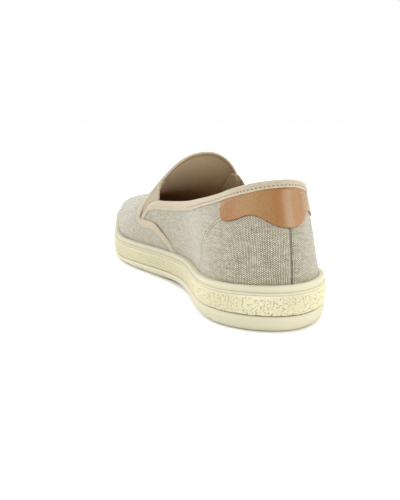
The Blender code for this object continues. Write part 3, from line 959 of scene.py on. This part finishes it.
TREAD_AT = (18, 28, 38, 56, 66, 160, 170, 186, 196, 206)  # the tread's channels, under the heel and the ball
BEAD_HEIGHT, BEAD_DROP = 1.5, 0.1  # the thin bead over the braid, and how far it ends below the ledge
EDGE_CLEAR = 0.75  # how far the outsole's inner edge stands off the floor between heel and ball
PLAIT_ROWS, PLAIT_PITCH, PLAIT_HEIGHT, PLAIT_RELIEF = 9, 1.8, 1.23, 0.62
LUMP_LENGTH, LUMP_WIDTH = 1.15, 0.62  # half the size of one lump of the plait
BRAID_COLUMNS, BRAID_STEPS = 2400, 34  # the braid's grid, fine enough for its lumps


def ring_on_outline(outline, normals, inset, height):
    """A ring round the sole: inset from its widest line and height, each one number a point."""
    plan = outline - normals * np.broadcast_to(inset, len(outline))[:, None]
    return np.column_stack([plan, np.broadcast_to(height, len(outline))])


def crevice(along):
    """How deep the rim dips where it meets the canvas: hardly at the waist, and little round the toe."""
    waist = ease(14, 36, along) * ease(124, 108, along)
    return 1 - 0.9 * waist - 0.85 * ease(188, 212, along)


def inner_side_shade(outline, normals, rings):
    """How much painted shade darkens the sole's edge at each point of each ring: most on the inner side."""
    side_shade = 0.75 * ease(-0.5, -0.95, normals[:, 0]) * ease(40, 90, outline[:, 1])
    return np.repeat(side_shade[:, None], rings, 1)


def band(name, profile, low, high, dip=None):
    """A rubber band round the sole. profile has rows of inset and share of the height from low to high.

    dip scales how far the profile falls at its inner edge, for each point of the outline.
    """
    normals = outward(EDGE)
    rings = []
    for inset, share in profile:
        if dip is not None and inset > 4 and share > 0.7:
            share = 1 - (1 - share) * dip
        rings.append(ring_on_outline(EDGE, normals, inset, low * (1 - share) + high * share))
    # painted shade on the sole's inner side
    fields = {"shade": inner_side_shade(EDGE, normals, len(rings))}
    return closed_profile(name, np.stack(rings, 1), RUBBER, fields)


def bead_foot(along):
    """The height of the thin bead's lower edge, where the braid ends."""
    return level("ledge", along) - BEAD_HEIGHT - BEAD_DROP


def make_outsole():
    """The rubber bottom: a slightly convex side, a rounded lower edge and a trodden underside."""
    # inset and share of the height, from the flat underside round to the groove
    side = (
        (7.5, 0.0), (5.2, 0.0), (4.1, 0.04), (3.1, 0.12), (2.3, 0.24), (1.75, 0.4), (1.4, 0.56), (1.2, 0.74),
        (1.3, 0.92), (1.9, 0.99), (3.5, 1.0),
    )
    full = {inset: reach(inset)[:-1] for inset, _ in side}
    under, widest, top = full[side[0][0]], full[min(full)], full[side[-1][0]]
    roots, directions = ROOTS[:-1], DIRECTIONS[:-1]

    def ring(distance, share):
        plan = roots + directions * distance[:, None]
        if share > 0:
            # the lower edge is rounder from the waist forward
            share = share + 0.16 * (1 - share) * ease(80, 150, plan[:, 1])
        low, high = ground(plan[:, 1]), level("groove", plan[:, 1])
        # and on the inner side it stands off the floor between heel and ball
        clear = EDGE_CLEAR * ease(20, 55, plan[:, 1]) * ease(195, 155, plan[:, 1]) * (directions[:, 0] < -0.9)
        low = low + clear * (distance / widest) ** 6
        return np.column_stack([plan, low * (1 - share) + high * share])

    rings = [ring(under * share, 0.0) for share in (0.0, 0.25, 0.5, 0.75, 0.93)]
    rings += [ring(full[inset], share) for inset, share in side]
    rings += [ring(top * share, 1.0) for share in (0.9, 0.0)]
    piece = closed_profile("outsole_rubber", np.stack(rings, 1), RUBBER, round_rows=False)
    mend(piece)
    carve(piece, [zigzag_cutter(along) for along in TREAD_AT])
    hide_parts("outsole")


def zigzag_cutter(along):
    """A solid zigzag bar across the sole, for one channel of the tread."""
    width, depth, rise, margin, teeth = 2.2, 1.5, 3, 9, 6
    inside = EDGE[np.abs(EDGE[:, 1] - along) < 1][:, 0]
    across = np.linspace(inside.min() + margin, inside.max() - margin, teeth + 1)
    middle = along + rise * (np.arange(teeth + 1) % 2)
    points, faces = [], []
    for x, y in zip(across, middle):
        for dy, z in ((-0.5, -3), (0.5, -3), (0.32, depth), (-0.32, depth)):
            points.append((x, y + dy * width, z))
    for k in range(teeth):
        for c in range(4):
            d = (c + 1) % 4
            faces.append((4 * k + c, 4 * k + d, 4 * k + 4 + d, 4 * k + 4 + c))
    faces += [(3, 2, 1, 0), tuple(4 * teeth + c for c in range(4))]
    cutter = add_object("tread", new_mesh("tread", points, faces))
    mend(cutter, join=False)
    return cutter


def carve(piece, cutters):
    """Cuts every cutter out of a piece for good, and removes the cutters."""
    for cutter in cutters:
        removal = piece.modifiers.new("cut", "BOOLEAN")
        removal.operation = "DIFFERENCE"
        removal.solver = "EXACT"
        removal.object = cutter
    graph = bpy.context.evaluated_depsgraph_get()
    data = bpy.data.meshes.new_from_object(piece.evaluated_get(graph))
    piece.modifiers.clear()
    piece.data = data
    for cutter in cutters:
        bpy.data.objects.remove(cutter)
    data.set_sharp_from_angle(angle=math.radians(40))


def plait_relief(distance, up, total):
    """The plait's lumps, 0 to 1: distance round the band and height up it in mm."""
    cells = int(round(total / PLAIT_PITCH))
    pitch = total / cells
    draw = np.random.default_rng(11)
    relief = np.zeros(distance.shape)
    for row in range(-1, PLAIT_ROWS + 1):
        shift = draw.uniform(0, pitch)
        move = draw.uniform(-0.45, 0.45, (cells, 2))
        lean = draw.uniform(-0.5, 0.5, cells) + (0.45 if row % 2 else -0.45)
        size = draw.uniform(0.85, 1.15, (cells, 2))
        tall = draw.uniform(0.55, 1.0, cells)
        cell = np.floor((distance - shift) / pitch)
        for step in (-1, 0, 1):
            k = (cell + step).astype(int)
            who = k % cells
            du = distance - shift - (k + 0.5) * pitch - move[who, 0]
            dv = up - (row + 0.5) * PLAIT_HEIGHT - move[who, 1] * 0.6
            turn_cos, turn_sin = np.cos(lean[who]), np.sin(lean[who])
            long = (du * turn_cos + dv * turn_sin) / (LUMP_LENGTH * size[who, 0])
            wide = (dv * turn_cos - du * turn_sin) / (LUMP_WIDTH * size[who, 1])
            dome = np.sqrt(np.clip(1 - long**2 - wide**2, 0, 1)) * tall[who]
            relief = np.maximum(relief, dome)
    return relief


def make_braid():
    """The braided band, with the plait's lumps as real relief."""
    outline = sole_outline(BRAID_COLUMNS)
    normals = outward(outline)
    along = outline[:, 1]
    low, high = level("groove", along) + 0.35 + 0.3 * ease(60, 10, along), bead_foot(along)
    distance = path_lengths(np.vstack([outline, outline[:1]]))
    total, distance = distance[-1], distance[:-1]
    rings, reliefs, cloths = [], [], []
    for share in np.arange(BRAID_STEPS + 1) / BRAID_STEPS:
        up = np.full(len(along), share * PLAIT_ROWS * PLAIT_HEIGHT)
        # the plait flattens out where it ends under the bead
        relief = 0.5 + (plait_relief(distance, up, total) - 0.5) * ease(1.0, 0.84, share)
        inset = 1.5 - 0.7 * math.sin(math.pi * 0.8 * share) - PLAIT_RELIEF * (relief - 0.35)
        rings.append(ring_on_outline(outline, normals, inset, low + (high - low) * share))
        reliefs.append(relief)
        cloths.append(np.column_stack([distance, up, np.zeros(len(along))]))
    for height in (high, low):
        rings.append(ring_on_outline(outline, normals, LIP_THICKNESS, height))
        reliefs.append(reliefs[-1] * 0)
        cloths.append(cloths[-1])
    fields = {"relief": np.stack(reliefs, 1), "cloth": np.stack(cloths, 1)}
    # painted shade on the sole's inner side
    fields["shade"] = inner_side_shade(outline, normals, len(rings))
    piece = closed_profile("braided_band", np.stack(rings, 1), BRAID, fields)
    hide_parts("midsole_braid")


def make_rims():
    """The thin bead over the braid, and the smooth rim that grips the canvas."""
    along = EDGE[:, 1]
    bead_top = level("ledge", along) - BEAD_DROP
    back = LIP_THICKNESS
    bead = ((back, 0), (1.5, 0), (1.25, 0.12), (1.08, 0.45), (1.2, 0.8), (1.6, 1), (back, 1))
    band("braid_bead", bead, bead_foot(along), bead_top)
    rim = (
        (back, 0.0), (2.05, 0.0), (2.0, 0.06), (1.92, 0.16), (1.8, 0.28), (1.68, 0.41), (1.57, 0.55),
        (1.5, 0.68), (1.68, 0.81), (2.2, 0.92), (2.9, 0.98), (3.7, 1.0), (4.5, 0.98), (5.0, 0.93),
        (5.27, 0.84), (5.27, 0.6), (back, 0.4),
    )
    piece = band("rim_rubber", rim, bead_top, level("lip", along), crevice(along))
    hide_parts("sole_lip")


def make_insole():
    """The footbed, a little dished and raised at its edge."""
    edge = reach(LIP_THICKNESS + GAP + WALL + 0.2)[:-1]
    roots, directions = ROOTS[:-1], DIRECTIONS[:-1]
    spread = np.linspace(0, 0.9, 10)
    shares = np.concatenate([spread, [0.96, 0.99, 1.0, 1.0, 0.0]])
    lifts = np.concatenate([3.6 + 1.4 * spread**4, [5.0, 4.9, 4.2, 0.3, 0.3]])
    rings = []
    for share, lift in zip(shares, lifts):
        plan = roots + directions * (edge * share)[:, None]
        rings.append(np.column_stack([plan, level("floor", plan[:, 1]) + lift]))
    piece = closed_profile("footbed", np.stack(rings, 1), INSOLE, round_rows=False)
    mend(piece)
    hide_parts("insole")


# ---------------------------------------------------------------- the upper


def unrolled_vamp():
    """Cloth coordinates for vamp and lining: each rib laid flat from the ridge."""
    top = SKIN[:, -1:, :2]
    offset = SKIN[..., :2] - top
    down = RISE[:, -1:] - RISE
    stretch = down / np.maximum(np.linalg.norm(offset, axis=-1), 1e-6)
    return np.dstack([top + offset * stretch[..., None], np.zeros_like(down)])


def soft_folds(points):
    """Handmade unevenness of the cloth: slow swells, and shallow bend lines across the vamp."""
    across, along, height = points[..., 0], points[..., 1], points[..., 2]
    slow = waves(points, 34, 3) * 0.16 + waves(points, 15, 4) * 0.05
    bend = 0.3 * hump(along - 183 + 0.12 * across, 7) - 0.55 * hump(along - 196 + 0.12 * across, 6.5)
    bend -= 0.3 * hump(along - 214 - 0.1 * across, 5)
    return slow * ease(24, 34, height) + bend * ease(26, 40, height)


def make_quarters(folds):
    """Two quarters joined at the back by a sunken seam drawn darker, and pressed flat under the vamp's lap.
    """
    keep = inside_distance(QUARTER)
    seam = 1 + int(np.argmin(np.abs(AROUND[1:] - SEAM_AT)))
    from_seam = np.abs(AROUND - AROUND[seam])[:, None]
    under_lap = ease(-1.5, 1, inside_distance(VAMP)) * lap_foot(SKIN)
    push = -0.95 * hump(from_seam, 0.9) + 0.22 * hump(from_seam - 2.6, 1.3) + folds * 0.7 - 0.45 * under_lap
    # the seam line is drawn darker, unevenly up its height
    seam_unevenness = 0.72 + 0.28 * np.sin(RISE * 2.6 + 2 * np.sin(RISE * 0.7))
    seam_darkening = 0.85 * hump(from_seam, 0.48) * seam_unevenness
    cloth = np.dstack([np.broadcast_to(AROUND[:, None], RISE.shape), RISE, np.zeros(RISE.shape)])
    front = int(side_columns(-1, QUARTER_FRONT)) + 1
    sides = {
        "inner": np.concatenate([np.arange(seam, COLUMNS - 1), np.arange(front + 1)]),
        "outer": np.arange(COLUMNS - front - 1, seam + 1),
    }
    for side, columns in sides.items():
        piece = cut_shell(
            "quarter_" + side, columns, keep, push - 0.02, cloth, CANVAS_THICKNESS, CANVAS, seam_darkening
        )
        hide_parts("upper")


def make_vamp(folds):
    """The vamp, lapped over the quarters, with painted shade where it meets the rim."""
    over_rim = HEIGHT - level("lip", ALONG.ravel()).reshape(HEIGHT.shape)
    # painted shade in the crevice just above the rim, fading out towards the toe
    shade = 0.3 * hump(over_rim - 0.1, 0.8) * ease(225, 195, ALONG)
    first = int(side_columns(-1, VAMP_BACK))
    columns = np.arange(first, COLUMNS - first)
    piece = cut_shell(
        "vamp_canvas", columns, inside_distance(VAMP), lap_lift(SKIN) + folds, unrolled_vamp(),
        CANVAS_THICKNESS, CANVAS, shade,
    )
    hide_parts("upper")


def make_lining(folds):
    """The lining inside vamp and quarters, painted warmer near the footbed from the waist forward, as bounced
    light.
    """
    inside = folds * 0.6 - (CANVAS_THICKNESS + LINING_GAP)
    # painted light bounced from the footbed, low down and from the waist forward
    painted_bounce_light = ease(38, 22, HEIGHT) * ease(70, 120, ALONG)
    cut_shell(
        "lining", np.arange(COLUMNS), -inside_distance(OPENING), inside, unrolled_vamp(),
        LINING_THICKNESS, LINING, painted_bounce_light,
    )


TAPE_LEG = 1.9  # the binding's leg inside the shoe lies deeper than this under the skin
# The binding's section: depth into the cloth and lift from the skin, with the leg inside the shoe last
TAPE_PROFILE = (
    (TAPE_WIDTH, 0.02), (TAPE_WIDTH + 0.05, 0.3), (TAPE_WIDTH - 0.2, 0.5), (TAPE_WIDTH - 0.8, 0.58),
    (TAPE_WIDTH - 1.6, 0.52), (TAPE_WIDTH - 2.6, STITCH_LIFT), (1.6, 0.66), (0.7, 0.66), (0.0, 0.55),
    (-0.5, 0.15), (-0.8, -0.5), (-0.85, -1.2), (-0.6, -1.9), (0.0, -2.35), (0.8, -2.45), (2.0, -2.4),
    (3.2, -2.4), (4.2, -2.35), (4.4, -2.15), (4.3, -1.95), (0.4, -1.9), (0.2, -0.9), (0.4, 0.0),
)


def tape_depth(depth, rise, leg):
    """The depth of one point of the binding's section, with its inner leg scaled by leg."""
    return depth * leg if rise < -TAPE_LEG and depth > 0 else depth


def tape_rings(found, inward, distance, lift, tuck, leg):
    """Sections of the binding, and their cloth coordinates. distance is read along the row of stitches."""
    rings, cloths = [], []
    walked = np.cumsum([0] + [math.dist(a, b) for a, b in zip(TAPE_PROFILE, TAPE_PROFILE[1:])])
    for (depth, rise), run in zip(TAPE_PROFILE, walked):
        base, normal = found[max(tape_depth(depth, rise, leg), 0.0)]
        shift = rise + lift(base) + tuck(base) * min(1, max(0, -rise / TAPE_LEG))
        rings.append(base + normal * shift[:, None] + inward * min(depth, 0))
        v = TAPE_WIDTH - run if run < TAPE_WIDTH + 2 else -run  # the finish paints shade on it inside the shoe
        cloths.append(np.column_stack([distance, np.full(len(distance), v), np.zeros(len(distance))]))
    return np.stack(rings, 1), np.stack(cloths, 1)


def tape(name, paths, lift, tuck, toward, narrow, leg=1.0):
    """Binding folded over an edge of the upper, along paths that join end to end, and its row of stitches.

    lift is how far out the cloth lies, and tuck how much further out the binding's inner leg lies than the
    cloth's thickness would put it. narrow scales the binding's width, and leg only its width inside the shoe.
    """
    sewn = TAPE_WIDTH - STITCH_INSET
    depths = {max(tape_depth(depth, rise, leg), 0.0) for depth, rise in TAPE_PROFILE} | {sewn}
    marches = [marched(path, depths, toward, narrow(sampled(SKIN, *path.T))) for path in paths]
    points, normals = (np.concatenate([found[sewn][k] for found, _ in marches]) for k in (0, 1))
    line = points + normals * (lift(points) + STITCH_LIFT)[:, None]
    distance = np.split(path_lengths(line), np.cumsum([len(path) for path in paths])[:-1])
    made = [tape_rings(*march, here, lift, tuck, leg) for march, here in zip(marches, distance)]
    rings, cloths = (np.concatenate([part[k] for part in made]) for k in (0, 1))
    fields = {"cloth": cloths, "sewn": 0.05 + 0.95 * ease(98, 66, rings[..., 1])}
    closed_profile(name, rings, TAPE, fields, round_columns=False)
    sew(name + "_stitches", line, normals, TAPE_STITCH, TAPE_THREAD, start=STITCH_PITCH)


# Sections of a stitch: share of its length, share of its radius, and how far it dips at its ends
STITCH_RINGS = (
    (-0.5, 0.25, -0.25), (-0.42, 0.75, -0.08), (-0.2, 1, 0),
    (0.2, 1, 0), (0.42, 0.75, -0.08), (0.5, 0.25, -0.25),
)


def sew(name, line, normals, stitch, finish, start=0.0):
    """A row of raised stitches along a line of points. stitch is the length and radius of each."""
    length, radius = stitch
    distance = path_lengths(line)
    centres = np.arange(start, distance[-1], STITCH_PITCH)

    def read(values, places):
        return np.column_stack([np.interp(places, distance, column) for column in values.T])

    at, ahead, up = read(line, centres), read(line, centres + 0.3), unit(read(normals, centres))
    keep = np.linalg.norm(ahead - at, axis=1) > 0.05
    forward = unit(ahead - at)
    side = np.cross(up, forward)
    corners = 6
    verts, faces = [], []
    for a, f, s, u in zip(at[keep], forward[keep], side[keep], up[keep]):
        base = len(verts)
        for share, size, drop in STITCH_RINGS:
            for angle in 2 * math.pi * np.arange(corners) / corners:
                aside, above = math.cos(angle) * radius * size, math.sin(angle) * radius * size
                verts.append(a + f * share * length + s * aside + u * (above + drop * radius * 2))
        faces += (grid_faces(len(STITCH_RINGS), corners, round_rows=True) + base).tolist()
        faces.append([base + c for c in range(corners)][::-1])
        faces.append([base + (len(STITCH_RINGS) - 1) * corners + c for c in range(corners)])
    mend(new_object(name, verts, faces, finish), join=False)


def collar_lift(points):
    """How far the collar's binding stands out where it lies over the leather tab."""
    tab_front = np.interp(HEEL_TAB["around"][-1], WALK, FOOT[:, 1])
    return 0.6 * ease(tab_front + 3, tab_front - 2, points[..., 1])


def collar_narrow(points):
    """The collar's binding is narrower towards the back, and tapers down to the notch."""
    along = points[..., 1]
    taper = 1 - 0.45 * ease(138, 160, along)
    return (0.7 + 0.13 * ease(14, 24, along) + 0.2 * ease(54, 92, along)) * taper


def vamp_lift(points):
    """How far the vamp's binding stands out: as the vamp does, but pressed flatter at the lap's lower end."""
    return lap_lift(points) - 0.3 * ease(*LAP_FADES, points[..., 1]) * lap_foot(points)


def vamp_tuck(points):
    """How much nearer the skin the vamp's binding is folded under where it lies over the quarter."""
    return 1.15 * lapped(points)


def vamp_narrow(points):
    """The vamp's binding is narrower between the notch and the throat, and thins out towards the rim."""
    height = points[..., 2]
    throat = 0.22 * ease(40, 50, height) * ease(96, 84, height)
    return 0.93 - throat - 0.2 * ease(40, 34, height) - 0.26 * ease(34, 21, height)


def make_tapes():
    """The collar's binding from notch to notch, and the vamp's from rim to rim over the throat."""
    tape(
        "collar_binding", [resampled(collar_path(), 1.0)], collar_lift, lambda points: -collar_lift(points),
        (0, 0, -1), collar_narrow,
    )
    inner, outer = vamp_path()
    first, second = (resampled(half, 1.0, smooth=6) for half in (inner, outer[::-1]))
    tape("vamp_binding", [first, second[1:]], vamp_lift, vamp_tuck, (0, 1, 0), vamp_narrow, leg=0.35)


def make_counter_arcs():
    """The double row of stitches that shows the counter's edge on each side."""
    share = np.linspace(0, 6, 90)
    around = table(COUNTER_ARC, "around", share, "share")
    height = table(COUNTER_ARC, "height", share, "share")
    for side, name in ((1, "inner"), (-1, "outer")):
        for row, offset in enumerate((0.0, ARC_ROWS_APART)):
            column = column_round(side * (around - offset))
            points, normals = on_skin(column, row_at_height(column, np.maximum(height, ARC_FOOT)))
            sew(f"counter_stitches_{name}_{row}", points + normals * 0.08, normals, ARC_STITCH, ARC_THREAD)


def make_heel_tab():
    """The tan leather tab: a patch of the skin with rounded edges, tucked under the collar's tape."""
    end = HEEL_TAB["around"][-1]
    tuck, corner = 1.3, 3.2  # how far it runs under the tape, and the radius of its upper corners
    around = np.linspace(-end, end, 241)
    away = np.abs(around)
    place = around + SEAM_AT * (1 - (around / end) ** 2)
    column = column_round(place)
    bottom = table(HEEL_TAB, "bottom", away, "around")
    low = sampled(RISE, column, row_at_height(column, bottom))
    rim = collar_rim()
    signed = np.where(column > COLUMNS / 2, column - (COLUMNS - 1), column)
    rim_row = np.interp(signed, rim[:, 0], rim[:, 1])
    width = TAPE_WIDTH * collar_narrow(sampled(SKIN, column, rim_row))
    high = sampled(RISE, column, rim_row) - 1.04 * (width - tuck)
    near_end = np.clip((away - (end - corner)) / corner, 0, 1)
    high = high - corner * (1 - np.sqrt(1 - near_end**2)) - (tuck + 0.3) * ease(end - 8, end - 2, away)
    shares = np.concatenate([[0, 0.004, 0.012, 0.025, 0.045], np.linspace(0.08, 1, 34)])
    ends = ease(24, 40, away)
    inner, outer, shade = [], [], []
    for share in shares:
        rise = low + (high - low) * share
        row = np.array([np.interp(r, RISE[int(c)], np.arange(TOP_ROW + 1)) for c, r in zip(column, rise)])
        points, normals = on_skin(column, row)
        edge = np.minimum(rise - low, end - away + 0.02)
        # the binding is sewn down hard along its edge and presses a crease there, with painted shade along it
        crease = hump(high - tuck - 0.1 - rise, 0.4)
        rounding = 0.85 * np.clip(edge / 0.4, 0, 1) ** 0.4 * ease(-1.2, 1.2, high - rise)
        buckle = 0.12 * waves(points, 9, 8) * np.clip(edge / 4, 0, 1)
        outer.append(points + normals * (0.12 + rounding + buckle - 0.3 * crease)[:, None])
        inner.append(points + normals * 0.08)
        # darker cut edges, with painted shade along the binding's edge and a little towards the tab's ends
        shade.append(np.maximum(np.maximum(hump(edge, 0.45), 0.6 * crease), 0.07 * ends))
    grid = np.stack(outer + inner[::-1], 1)
    shades = np.stack(shade + shade[::-1], 1)
    # painted dark reflection: a band each side of the seam and at the ends, where the leather reflects less
    # light
    painted_dark_reflection = hump(away - 8.5, 4.5) + 0.6 * ends
    fields = {"shade": shades, "painted_dark_reflection": painted_dark_reflection[:, None] * np.ones(shades.shape)}
    piece = closed_profile("heel_tab_leather", grid, LEATHER, fields, round_columns=False)
    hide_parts("heel_tab")


def make_gores():
    """The elastic behind each notch, pale outside and brown towards the foot."""
    cloth = np.dstack([ALONG, HEIGHT, np.zeros(HEIGHT.shape)])
    # it swells between the two bindings, a little short of the vamp's near the top
    shown = ease(-0.4, 0.9, inside_distance(OPENING) - 0.5 * ease(56, 66, HEIGHT))
    lift = (1.8 + 0.7 * ease(60, 46, HEIGHT)) * shown - (CANVAS_THICKNESS + LINING_THICKNESS + ELASTIC_GAP)
    inside, half = inside_distance(GORE), COLUMNS // 2
    for side, columns in (("inner", np.arange(half)), ("outer", np.arange(half, COLUMNS))):
        keep = np.minimum(inside, GORE_TOP[side] - HEIGHT)
        name = f"gore_{side}_elastic"
        piece = cut_shell(name, columns, keep, lift, cloth, ELASTIC_THICKNESS, ELASTIC)
        piece.data.materials.append(ELASTIC_INSIDE)
        piece.modifiers["thickness"].material_offset = 1
        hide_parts("gore_" + side)


# ---------------------------------------------------------------- floor, light and camera

FLOOR_RADII, FLOOR_STEP = (0.25, 1.0, 6.0), 5  # the floor's rings in metres, and degrees between points
# A light's azimuth is 0 behind the heel and 90 at the outer side. Its distance and size are in metres.
LIGHTS = (
    # azimuth, elevation, distance, width, height, radiance, colour
    ("left_softbox", -114, 36, 1.3, 1.8, 1.2, 1.04, (1, 1, 1)),
    ("left_strip", -76, 10, 1.2, 1.1, 0.36, 1.2, (1, 1, 1)),
    ("heel_strip", 34, 11, 1.2, 0.68, 0.36, 4.0, (1, 1, 1)),
    ("toe_strip", -150, 12, 1.3, 0.8, 0.45, 1.9, (1, 1, 1)),
    ("side_strip", 68, 14, 1.2, 0.6, 0.5, 1.7, (1.0, 0.88, 0.68)),
    ("right_softbox", 106, 42, 1.2, 1.2, 1.2, 1.4, (1.0, 0.95, 0.87)),
    ("top_softbox", 180, 74, 1.4, 1.4, 1.4, 1.1, (0.9, 0.95, 1.0)),
)
CAMERA_PLACE = (-173.5, -291.5, 123.3)  # in the tables' frame
CAMERA_BEARING = (-21.73, 12.74)  # the azimuth and elevation that it looks back along


def make_floor():
    """A wide white disc under the shoe, a touch brighter away from it."""
    finish = Finish("white floor", roughness=0.9, specular=0.1)
    finish.colour(finish.mix(finish.number("distance"), (250, 250, 250), (254, 254, 254)))
    turns = np.radians(np.arange(0, 360, FLOOR_STEP))
    count = len(turns)
    points = [(0, 0, 0)]
    for radius in FLOOR_RADII:
        points += [(radius * math.cos(turn), radius * math.sin(turn), 0) for turn in turns]
    faces = [(0, 1 + k, 1 + (k + 1) % count) for k in range(count)]
    faces += (grid_faces(len(FLOOR_RADII), count, round_rows=True) + 1).tolist()
    data = bpy.data.meshes.new("floor")
    data.from_pydata(points, [], faces)
    far = data.attributes.new("distance", "FLOAT", "POINT")
    far.data.foreach_set("value", [0.0] * (1 + count) + [1.0] * (2 * count))
    data.materials.append(finish.made)
    floor = add_object("floor", data)
    floor.location.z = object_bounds()[0][2] - 0.0001


def bearing(azimuth, elevation):
    """The direction away from the shoe at an azimuth and elevation."""
    turn, rise = math.radians(azimuth), math.radians(elevation)
    return Vector((math.sin(turn) * math.cos(rise), -math.cos(turn) * math.cos(rise), math.sin(rise)))


def facing(direction):
    """The rotation of a light or camera that looks back along a direction from the shoe."""
    return (-direction).to_track_quat("-Z", "Y").to_euler()


def make_lights():
    """A white surround, and rectangular lights that face the shoe."""
    world = bpy.data.worlds.new("studio")
    bpy.context.scene.world = world
    world.use_nodes = True
    world.node_tree.nodes["Background"].inputs["Color"].default_value = (1, 1, 1, 1)
    world.node_tree.nodes["Background"].inputs["Strength"].default_value = 1.0
    for name, azimuth, elevation, distance, width, height, radiance, colour in LIGHTS:
        lamp = bpy.data.lights.new(name, "AREA")
        lamp.shape = "RECTANGLE"
        lamp.size, lamp.size_y = width, height
        lamp.energy = math.pi * width * height * radiance
        lamp.color = colour
        made = add_object(name, lamp)
        made.location = bearing(azimuth, elevation) * distance
        made.rotation_euler = facing(bearing(azimuth, elevation))


def make_camera():
    """Behind the shoe on its inner side, a little above it."""
    lens = bpy.data.cameras.new("camera")
    lens.lens = 45.6
    lens.sensor_width = 36
    lens.clip_start = 0.01
    camera = add_object("camera", lens)
    camera.location = (np.array(CAMERA_PLACE) - SHIFT) * MM
    camera.rotation_euler = facing(bearing(*CAMERA_BEARING))
    bpy.context.scene.camera = camera


make_outsole()
make_braid()
make_rims()
make_insole()
cloth_folds = soft_folds(SKIN)
make_quarters(cloth_folds)
make_vamp(cloth_folds)
make_lining(cloth_folds)
make_tapes()
make_counter_arcs()
make_heel_tab()
make_gores()
bpy.context.scene.view_settings.view_transform = "Standard"
make_floor()
make_lights()
make_camera()
